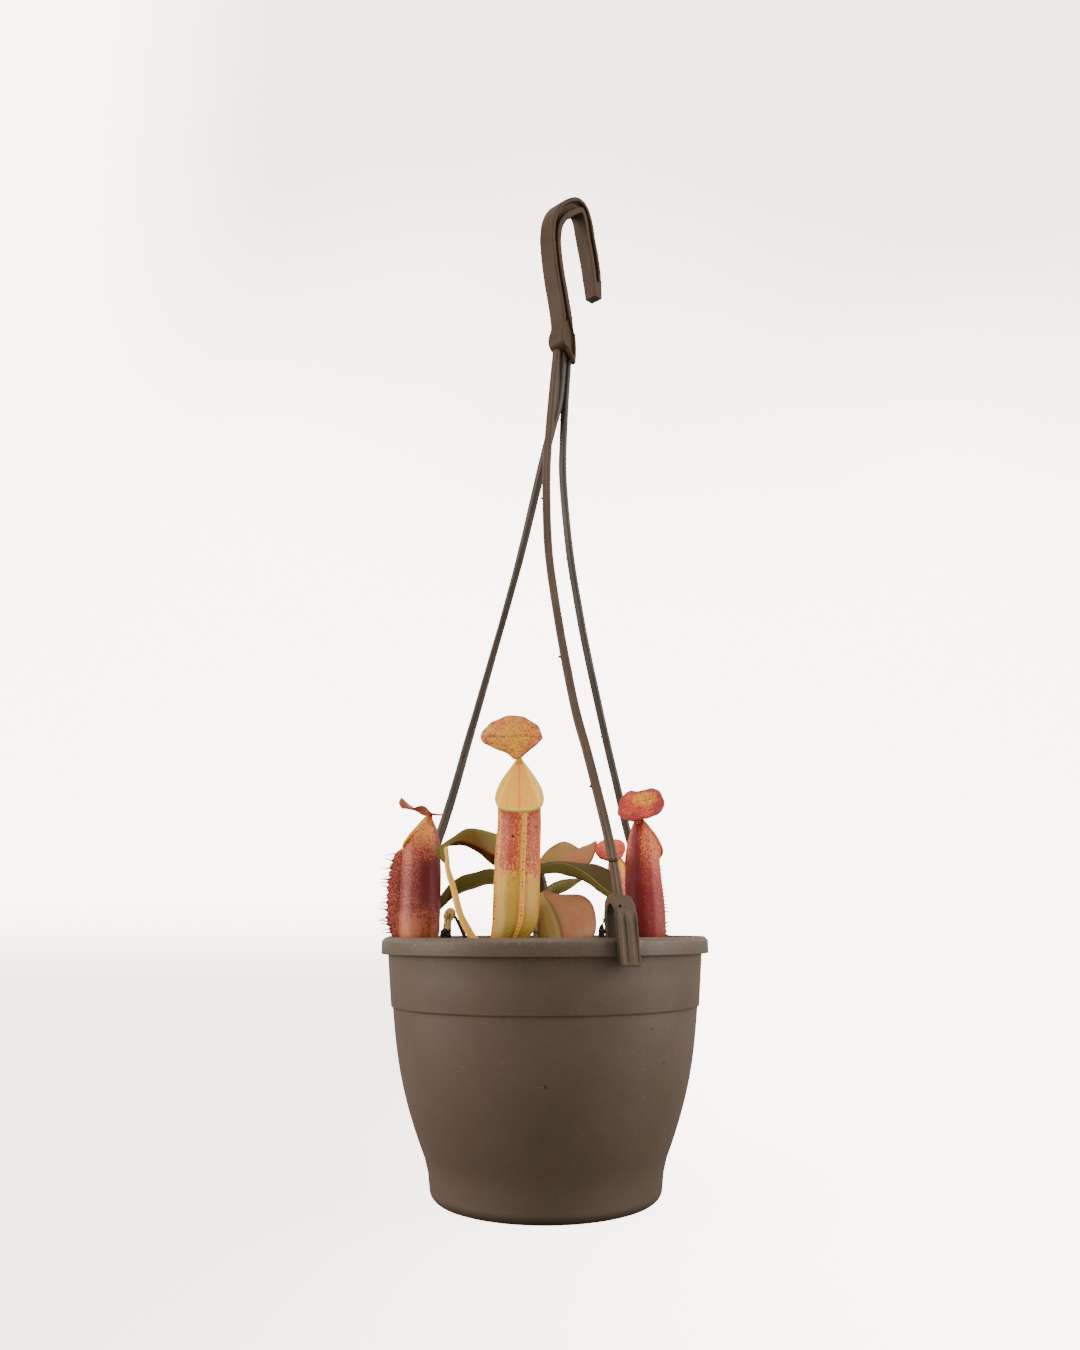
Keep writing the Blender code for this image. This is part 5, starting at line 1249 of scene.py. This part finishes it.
def crumbTree():
    maker, given = newTree("crumbs", {"Shapes": "Collection", "Density": "Float", "Smallest": "Float",
                                      "Largest": "Float", "Tilt": "Float", "Seed": "Int",
                                      "Material": "Material"})
    chosen = maker.node("GeometryNodeInputNamedAttribute", {"data_type": "FLOAT"}, {"Name": "open"})
    inputs = {"Mesh": given["Geometry"], "Density": given["Density"] * chosen, "Seed": given["Seed"]}
    scattered = maker.node("GeometryNodeDistributePointsOnFaces", {}, inputs)
    flat = randomValue(maker, "FLOAT_VECTOR", (-1.0, -1.0, 0.0), (1.0, 1.0, 6.283), given["Seed"])
    tilt = maker.node("ShaderNodeCombineXYZ", {}, {0: given["Tilt"], 1: given["Tilt"], 2: 1.0})
    turn = maker.node("ShaderNodeVectorMath", {"operation": "MULTIPLY"}, {0: flat, 1: tilt})
    rotation = maker.node("FunctionNodeEulerToRotation", {}, {0: turn})
    inputs = {"Collection": given["Shapes"], "Separate Children": True, "Reset Children": True}
    shapes = maker.node("GeometryNodeCollectionInfo", {}, inputs)
    size = randomValue(maker, "FLOAT", 0.0, 1.0, given["Seed"] + 5.0) ** 2.0
    scale = given["Smallest"] + (given["Largest"] - given["Smallest"]) * size
    closeTree(maker, scattered, shapes, rotation, scale, given, True)
    return maker


def bristleFinish(name, root, end):
    f = Finish(name, Subsurface_Weight=0.1, Subsurface_Scale=0.001)
    tone, grain = f.attribute("tone"), f.speckle(2.4, 3, 0.6)
    f.colour = f.mix((tone * 0.7 + 0.5 * (grain - 0.5)).clip(), root, end)
    return f.finished(Roughness=0.4 + 0.25 * grain, Normal=f.bump(grain, 0.3, 0.05))


bristleSizes = dict(spacing=1.7, width=0.42, spread=0.30, seed=7, steps=60, sunk=0.25)


def makeBristles(name, shape, skin):
    s = bristleSizes
    facing, side = headings(shape)
    stations = np.array(shape["stations"], float)
    points, outs, edges = [], [], []
    for angle in np.radians(shape["ribs"]):
        out = math.cos(angle) * facing + math.sin(angle) * side
        for i, z in enumerate(np.linspace(*shape["hairs"], s["steps"])):
            x, y, radius = (float(np.interp(z, stations[:, 0], stations[:, k])) for k in (1, 2, 3))
            if i:
                edges.append((len(points) - 1, len(points)))
            points.append(np.array([x, y, z]) + out * (radius + ribRise(shape, z) - s["sunk"]))
            outs.append(out + np.array([0, 0, 0.12 * math.sin(1.3 * z)]))
    mesh = bpy.data.meshes.new(name)
    mesh.from_pydata((np.array(points) * mm).tolist(), edges, [])
    layer = mesh.attributes.new("out", "FLOAT_VECTOR", "POINT")
    layer.data.foreach_set("vector", np.array(outs, np.float32).ravel())
    values = {"Spacing": s["spacing"] * mm, "Length": shape["hairLength"] * mm, "Width": s["width"] * mm,
              "Spread": s["spread"], "Seed": s["seed"],
              "Material": bristleFinish(name + " skin", skin["deep"], tint(120, 62, 52))}
    return runTree(link(name, mesh), bristleTree(), values)


def makePitchers():
    for seed, (side, shape) in enumerate(pitchers.items()):
        name = "pitcher" + side
        skin, lid = pitcherSkins[side], lids[side]
        angles = cupAngles(shape)
        rings, layers, lip = cupSurface(shape, angles)
        finish = pitcherFinish(name + " skin", skin)
        cup = ringPiece(name, rings, finish, layers)
        cover = lidPiece("lid", lid, lidFinish(name + " lid skin", lid), 2.0 + seed)
        peak = lip[np.argmax(lip[:, 2])]
        reach = np.array(lid["middle"]) + np.cross(lid["long"], lid["short"]) * lid["dome"] - peak
        line = smoothLine([peak - np.array([0, 0, 2.8]), peak + 0.1 * reach, peak + 0.85 * reach], 24)
        neckSkin = stalkFinish(name + " neck skin", skin["ladder"][-1][1], skin["red"], skin["deep"])
        neck = tubePiece("neck", line, cupSizes["neckRadii"], neckSkin, 18)
        parts = [cup, cover, neck]
        if shape["hairs"]:
            parts.append(makeBristles("bristles", shape, skin))
        handOver(join(name, parts), shape["slot"], "pitcher_" + side.lower())


# ---- soil

soilSizes = dict(level=108.6, relief=1.1, rings=100, sides=200, pocket=105.8, play=0.15, floor=2.3,
                 hollows=[(-28.8, -39.6, 3.2), (-59.4, 12.4, 2.6), (40.6, -15, 2.6), (35.6, 22.6, 2.2),
                          (9, -33, 11.5), (-1, 1, 3.6)])
litter = {  # loose bits on the soil: Density is how many lie on a square metre, Smallest and Largest are scales
    "soilCrumbs": dict(skin=("peat crumbs", tint(38, 28, 21), tint(72, 52, 38), tint(120, 98, 74)),
                       values={"Density": 0.20e6, "Smallest": 0.35, "Largest": 1.5, "Tilt": 0.8, "Seed": 3}),
    "barkChips": dict(skin=("bark chips", tint(62, 38, 26), tint(108, 70, 46), tint(150, 116, 84)),
                      values={"Density": 0.045e6, "Smallest": 0.5, "Largest": 1.5, "Tilt": 0.35, "Seed": 12}),
    "mossThreads": dict(skin=("moss threads", tint(104, 84, 52), tint(150, 130, 88), tint(196, 182, 140)),
                        values={"Density": 0.02e6, "Smallest": 0.5, "Largest": 1.3, "Tilt": 0.3, "Seed": 31}),
}


def soilHeight(x, y):
    s = soilSizes
    edge = max(0.0, math.hypot(x, y) - 60) / 10
    height = s["level"] + s["relief"] * wobble(x, y, 3.1 / 0.09, 0.09) + 0.6 * wobble(x, y, 3, 0.27)
    height += 0.35 * wobble(x, y, 5, 0.8) - 0.7 * edge
    for hx, hy, radius in hollows():
        near = np.clip((math.hypot(x - hx, y - hy) - radius) / 3.0, 0, 1)
        height = s["pocket"] + (height - s["pocket"]) * near * near * (3 - 2 * near)
    return height


def hollows():  # where the soil gives way to what stands in it
    found = list(soilSizes["hollows"])
    for shape in pitchers.values():
        x, y, radius = shape["stations"][2][1:]
        facing, _ = headings(shape)
        ahead = ribRise(shape, 108) / 2
        found.append((x + ahead * facing[0], y + ahead * facing[1], radius + ahead - 0.6))
    for strand in strands.values():
        out, _ = clipFrame(math.radians(strand["bearing"]))
        found.append((out[0] * 69.4, out[1] * 69.4, 3.2))
    return found


def earthFinish(name, dark, mid, pale, toned):
    f = Finish(name, Specular_IOR_Level=0.3)
    broad, cloud, fine = f.speckle(0.12, 4, 0.6), f.speckle(0.7, 5, 0.7), f.speckle(3.2, 4, 0.7)
    f.colour = f.mix(cloud.step(0.34, 0.7), dark, mid)
    f.paint((fine + 0.4 * (broad - 0.5)).step(0.58, 0.76) * 0.6, pale)
    if toned:
        tone = f.attribute("tone")
        f.paint(tone.step(0.45, 1.0) * 0.8, mid)
        f.paint(tone.step(0.86, 0.97) * 0.7, pale)
        grainLines = f.speckle(1.2, 3, 0.5, f.place.scaled(1, 1, 6)).step(0.5, 0.7)
        f.paint(grainLines * 0.35, dark)
    roots = f.cells(0.5, feature="DISTANCE_TO_EDGE").step(0.05, 0.015) * broad.step(0.5, 0.62)
    f.paint(roots * 0.5, pale)
    height = fine * 0.8 + cloud * 0.9 + roots * 0.6
    return f.finished(Roughness=0.86 + 0.12 * fine, Normal=f.bump(height, 0.8, 0.5))


def lump(name, seed, stretch, rough, sides=7, rows=4):
    spin = np.random.default_rng(seed)
    rings = []
    for t in np.linspace(0.12, 0.88, rows):
        radius = math.sin(math.pi * t)
        turns = circleTurns(sides) + 0.4 * t
        size = radius * (1 + rough * spin.uniform(-1, 1, sides))
        z = -math.cos(math.pi * t) + 0.2 * rough * spin.uniform(-1, 1, sides)
        rings.append(np.array([np.cos(turns) * size, np.sin(turns) * size, z]).T * stretch)
    return ringPiece(name, rings, None)


def scattered(name, ground, shapes, material, values):
    shelf = bpy.data.collections.new(name + " shapes")
    bpy.context.scene.collection.children.link(shelf)
    for shape in shapes:
        bpy.context.scene.collection.objects.unlink(shape)
        shelf.objects.link(shape)
    piece = link(name, ground.data.copy())
    runTree(piece, crumbTree(), {**values, "Shapes": shelf, "Material": material})
    for shape in shapes:
        bpy.data.objects.remove(shape)
    bpy.data.collections.remove(shelf)
    handOver(piece, "soil")


def litterShapes(name):
    if name == "soilCrumbs":
        return [lump("crumb", k, (0.6 + 0.1 * k, 0.7, 0.5), 0.3) for k in range(4)]
    if name == "barkChips":
        return [lump("chip", 20 + k, (2.6 - 0.3 * k, 1.1 + 0.2 * k, 0.42), 0.24) for k in range(3)]
    return [threadShape("thread", k) for k in range(3)]


def makeSoil():
    s = soilSizes
    rim = potSizes["rimInner"] - s["play"]
    wall = [(innerRadius(z) - s["play"], z + 0.1) for z in (4.4, 17, 38, 60, 80, 102.6)]
    profile = [(44, s["floor"]), (wall[0][0] - 2.6, s["floor"]), *wall, (rim, 105), (rim - 0.05, 106.6)]
    rings = [circle(r, z, s["sides"]) for r, z in profile]
    opened = [np.zeros(s["sides"]) for _ in rings]
    for r in np.linspace(potSizes["rimInner"] - 0.5, 0.4, s["rings"]):
        ring = circle(r, 0, s["sides"])
        ring[:, 2] = [soilHeight(x, y) for x, y, _ in ring]
        rings.append(ring)
        opened.append((ring[:, 2] > 107) & (r < 69))  # litter lies only on the open soil
    finish = earthFinish("peat", tint(34, 25, 19), tint(58, 43, 32), tint(104, 84, 64), False)
    soil = ringPiece("soilBed", rings, finish, {"open": np.array(opened)})
    for name, kind in litter.items():
        scattered(name, soil, litterShapes(name), earthFinish(*kind["skin"], True), kind["values"])
    handOver(soil, "soil", "soil")


def threadShape(name, seed):
    spin = np.random.default_rng(40 + seed)
    line = np.array([(-3.4, 0, 0.2), (-1.6, 1.1, 0.8), (0.2, 0.3, 1.0), (1.8, -0.9, 0.7), (3.4, 0.2, 0.3)])
    line[:, :2] += spin.uniform(-0.6, 0.6, (5, 2))
    return tubePiece(name, smoothLine(line, 11), [0.1, 0.18, 0.16, 0.07], None, 5, attributes={})


# ---- stem, withered stub and dead bud

stemSizes = dict(line=[(-1, 1, 96), (-1.6, 1, 112), (-1.4, 1, 124), (-1.2, 1.2, 133), (-2.2, 1.6, 141),
                       (-3.6, 2, 148)], radii=[4.0, 4.0, 3.7, 2.8, 1.7, 0.8], scars=9, scarRise=0.10)
stubSizes = dict(stalk=[(-35, -13, 107.6), (-36.4, -12.6, 111), (-38.6, -11.4, 115.6), (-40.8, -10.4, 119.4),
                        (-43, -10, 121.4)], stalkRadii=[0.95, 0.8, 0.6],
                 huskTop=(-43.4, -10.0, 124.4), huskEnd=(-45.0, -10.0, 111.4), huskRadius=3.1,
                 crumbTop=(-45, -10.6, 115.2), crumbEnd=(-45.4, -10.6, 109.2), crumbRadius=2.6)
budSizes = dict(line=[(26.1, -10, 107.2), (26, -10, 111), (25.9, -10, 114.2), (26.2, -10.2, 116.4)],
                radii=[1.2, 1.5, 1.35, 0.4], dent=(0.22, 0.132, 0.044),
                thread=[(26.1, -10.1, 115.8), (26.9, -10.3, 118), (26.4, -10.4, 119.8)],
                threadRadii=[0.33, 0.3, 0.18])


def makeStem():
    s, t = stemSizes, np.linspace(0, 1, 150)
    radii = np.interp(t, np.linspace(0, 1, len(s["radii"])), s["radii"])
    scars = 1 + s["scarRise"] * np.maximum(0, np.cos(t * 2 * math.pi * s["scars"])) ** 6
    skin = stalkFinish("stem skin", tint(120, 92, 46), tint(92, 62, 36), tint(60, 40, 24))
    stem = tubePiece("plantStem", smoothLine(s["line"], len(t)), radii * scars, skin, 40)
    handOver(stem, "stem_brown", "plant_stem")


def huskFinish(name, main, shade, pale):
    f = Finish(name, Specular_IOR_Level=0.25)
    cloud, fine = f.speckle(0.5, 5, 0.65), f.speckle(2.6, 4, 0.65)
    streaks = f.speckle(1.4, 4, 0.6, f.place.scaled(1, 1, 0.22)).step(0.44, 0.66)
    f.colour = f.mix(streaks, main, shade)
    f.paint(cloud.step(0.55, 0.7) * 0.5, pale)
    f.paint(fine.step(0.62, 0.76) * 0.5, tint(70, 52, 36))
    return f.finished(Roughness=0.8 + 0.18 * fine, Normal=f.bump(streaks + fine, 0.6, 0.3))


def witheredLump(name, top, end, shares, radiusAt, raggedAt, flat, dents, material):
    rings = []
    for t in shares:
        ring = circle(1, 0, 40) * (1, flat, 0) * (radiusAt(t) * raggedAt(circleTurns(40), t))[:, None]
        rings.append(np.array(top) + t * (np.array(end) - top) + ring)
    rings = np.array(rings)
    depth, scale, seed = dents
    rings += depth * wobbles(rings, scale, seed)[..., None]
    return ringPiece(name, rings, material, {"along": np.zeros(rings.shape[:2])})


def makeStub():
    s = stubSizes
    tan = huskFinish("husk skin", tint(196, 174, 138), tint(142, 122, 90), tint(222, 206, 174))
    black = huskFinish("crumb skin", tint(44, 36, 30), tint(28, 22, 18), tint(88, 76, 62))
    stalk = tubePiece("drySprig", smoothLine(s["stalk"], 60), s["stalkRadii"], black, 14)
    husk = witheredLump("husk", s["huskTop"], s["huskEnd"], np.linspace(0.03, 0.97, 46),
                        lambda t: s["huskRadius"] * math.sin(math.pi * t) ** 0.6
                        * (0.85 + 0.25 * math.sin(9 * t)) * (1.1 - 0.5 * t),
                        lambda turns, t: 1 + 0.20 * np.sin(3 * turns + 7 * t)
                        + 0.08 * np.sin(8 * turns - 11 * t),
                        1, (0.25, 0.7, 2.0), tan)
    crumb = witheredLump("crumb", s["crumbTop"], s["crumbEnd"], np.linspace(0.05, 0.95, 14),
                         lambda t: s["crumbRadius"] * math.sin(math.pi * t) ** 0.6,
                         lambda turns, t: 1 + 0.18 * np.sin(4 * turns + 9 * t), 0.8, (0.35, 0.8, 6.0), black)
    handOver(join("drySprig", [stalk, husk, crumb]), "dry_husk", "dry_sprig")
    s = budSizes
    bud = tubePiece("deadBud", smoothLine(s["line"], 40), s["radii"], black, 28)
    for vertex in bud.data.vertices:
        vertex.co += Vector(s["dent"]) * mm * wobble(*(vertex.co / mm), 0.8, 1.0)
    thread = tubePiece("thread", smoothLine(s["thread"], 24), s["threadRadii"], black, 12)
    handOver(join("deadBud", [bud, thread]), "soil", "dead_bud")


# ---- studio

# Metres here, apart from the paper's shading. The lens values match the view that the piece is shown in.
studio = dict(paper=(1.0, 0.90, 0.80), shade=(0.46, 0.44, 0.43), glow=7.4, halfWidth=2.6, front=-1.6, bend=0.6,
              bendRadius=0.7, height=3.2, world=0.94, sky=(1.0, 0.965, 0.915), cardTone=(0.35, 0.33, 0.30, 1.0),
              cardHalf=3.0, cardDrop=0.001,
              eye=(-0.0018, -0.4995, 0.1153), tilt=103.6, roll=-0.2, lens=27.76, sensor=(28.8, 36.0))
lamps = {"left": ((-1.2, -0.3, 0.36), (0, 0, 0.12), (0.7, 1.0), 19.0, (1.0, 0.97, 0.93)),
         "right": ((1.2, -0.3, 0.36), (0, 0, 0.12), (0.7, 1.0), 17.0, (1.0, 0.97, 0.93)),
         "above": ((0.0, -0.1, 1.5), (0, 0, 0.2), (1.0, 1.0), 3.0, (1.0, 0.98, 0.95))}


def paperFinish():
    f = Finish("backdrop paper", (0.8, 0.79, 0.77, 1.0), Roughness=0.85, Emission_Strength=studio["glow"],
               Specular_IOR_Level=0.1)
    drift, x, z = f.speckle(0.0009, 2, 0.5), f.place.part("X"), f.place.part("Z")
    high = (z + 900 * (drift - 0.5)).step(800, 1700) * x.step(-1000, -500)
    low = z.step(160, 40) * (x + 60 * (drift - 0.5)).step(150, -150)
    dimmed = (a * b for a, b in zip(studio["paper"], studio["shade"]))
    glow = f.mix((high + low).clip(), (*studio["paper"], 1.0), (*dimmed, 1.0))
    return f.finished(Emission_Color=glow, Normal=f.bump(f.speckle(0.5, 3), 0.05, 0.1))


def makeFloor():
    s, bow = studio, studio["bendRadius"]
    side = np.linspace(-s["halfWidth"], s["halfWidth"], 15)
    line = [(s["front"], 0.0), (s["bend"], 0.0)]
    line += [(s["bend"] + bow * math.sin(a), bow - bow * math.cos(a))
             for a in np.radians(np.linspace(6, 84, 14))]
    line += [(s["bend"] + bow, bow), (s["bend"] + bow, s["height"])]
    points = [(x / mm, y / mm, z / mm) for y, z in line for x in side]
    width = len(side)
    faces = [(i * width + j, i * width + j + 1, (i + 1) * width + j + 1, (i + 1) * width + j)
             for i in range(len(line) - 1) for j in range(width - 1)]
    floor = meshPiece("floor", points, faces, paperFinish())
    floor.visible_diffuse = floor.visible_glossy = False
    cardSkin = Finish("card paper", s["cardTone"], Roughness=0.9).finished()
    half = s["cardHalf"] / mm
    corners = [(x * half, y * half, -s["cardDrop"] / mm) for x, y in ((-1, -1), (1, -1), (1, 1), (-1, 1))]
    card = meshPiece("card", corners, [(0, 1, 2, 3)], cardSkin)  # dims the light that the floor throws up
    card.visible_camera = False


def makeStudio():
    makeFloor()
    s, scene = studio, bpy.context.scene
    scene.world = bpy.data.worlds.new("studio")
    scene.world.use_nodes = True
    background = scene.world.node_tree.nodes["Background"]
    background.inputs["Color"].default_value = (*s["sky"], 1.0)
    background.inputs["Strength"].default_value = s["world"]
    for name, (place, aim, size, power, colour) in lamps.items():
        lamp = bpy.data.lights.new(name, "AREA")
        lamp.shape, lamp.energy, lamp.color = "RECTANGLE", power, colour
        lamp.size, lamp.size_y = size
        holder = link(name, lamp)
        holder.location = place
        holder.rotation_euler = (Vector(aim) - Vector(place)).to_track_quat("-Z", "Y").to_euler()
    lens = bpy.data.cameras.new("camera")
    lens.sensor_fit, lens.lens, lens.clip_start = "VERTICAL", s["lens"], 0.01
    lens.sensor_width, lens.sensor_height = s["sensor"]
    camera = link("camera", lens)
    camera.location = s["eye"]
    turn = Matrix.Rotation(math.radians(s["tilt"]), 3, "X") @ Matrix.Rotation(math.radians(s["roll"]), 3, "Z")
    camera.rotation_euler = turn.to_euler()
    scene.camera = camera


for make in (makePot, makeHanger, makeLeaves, makePitchers, makeStem, makeStub, makeSoil, makeStudio):
    make()
print("pieces made")
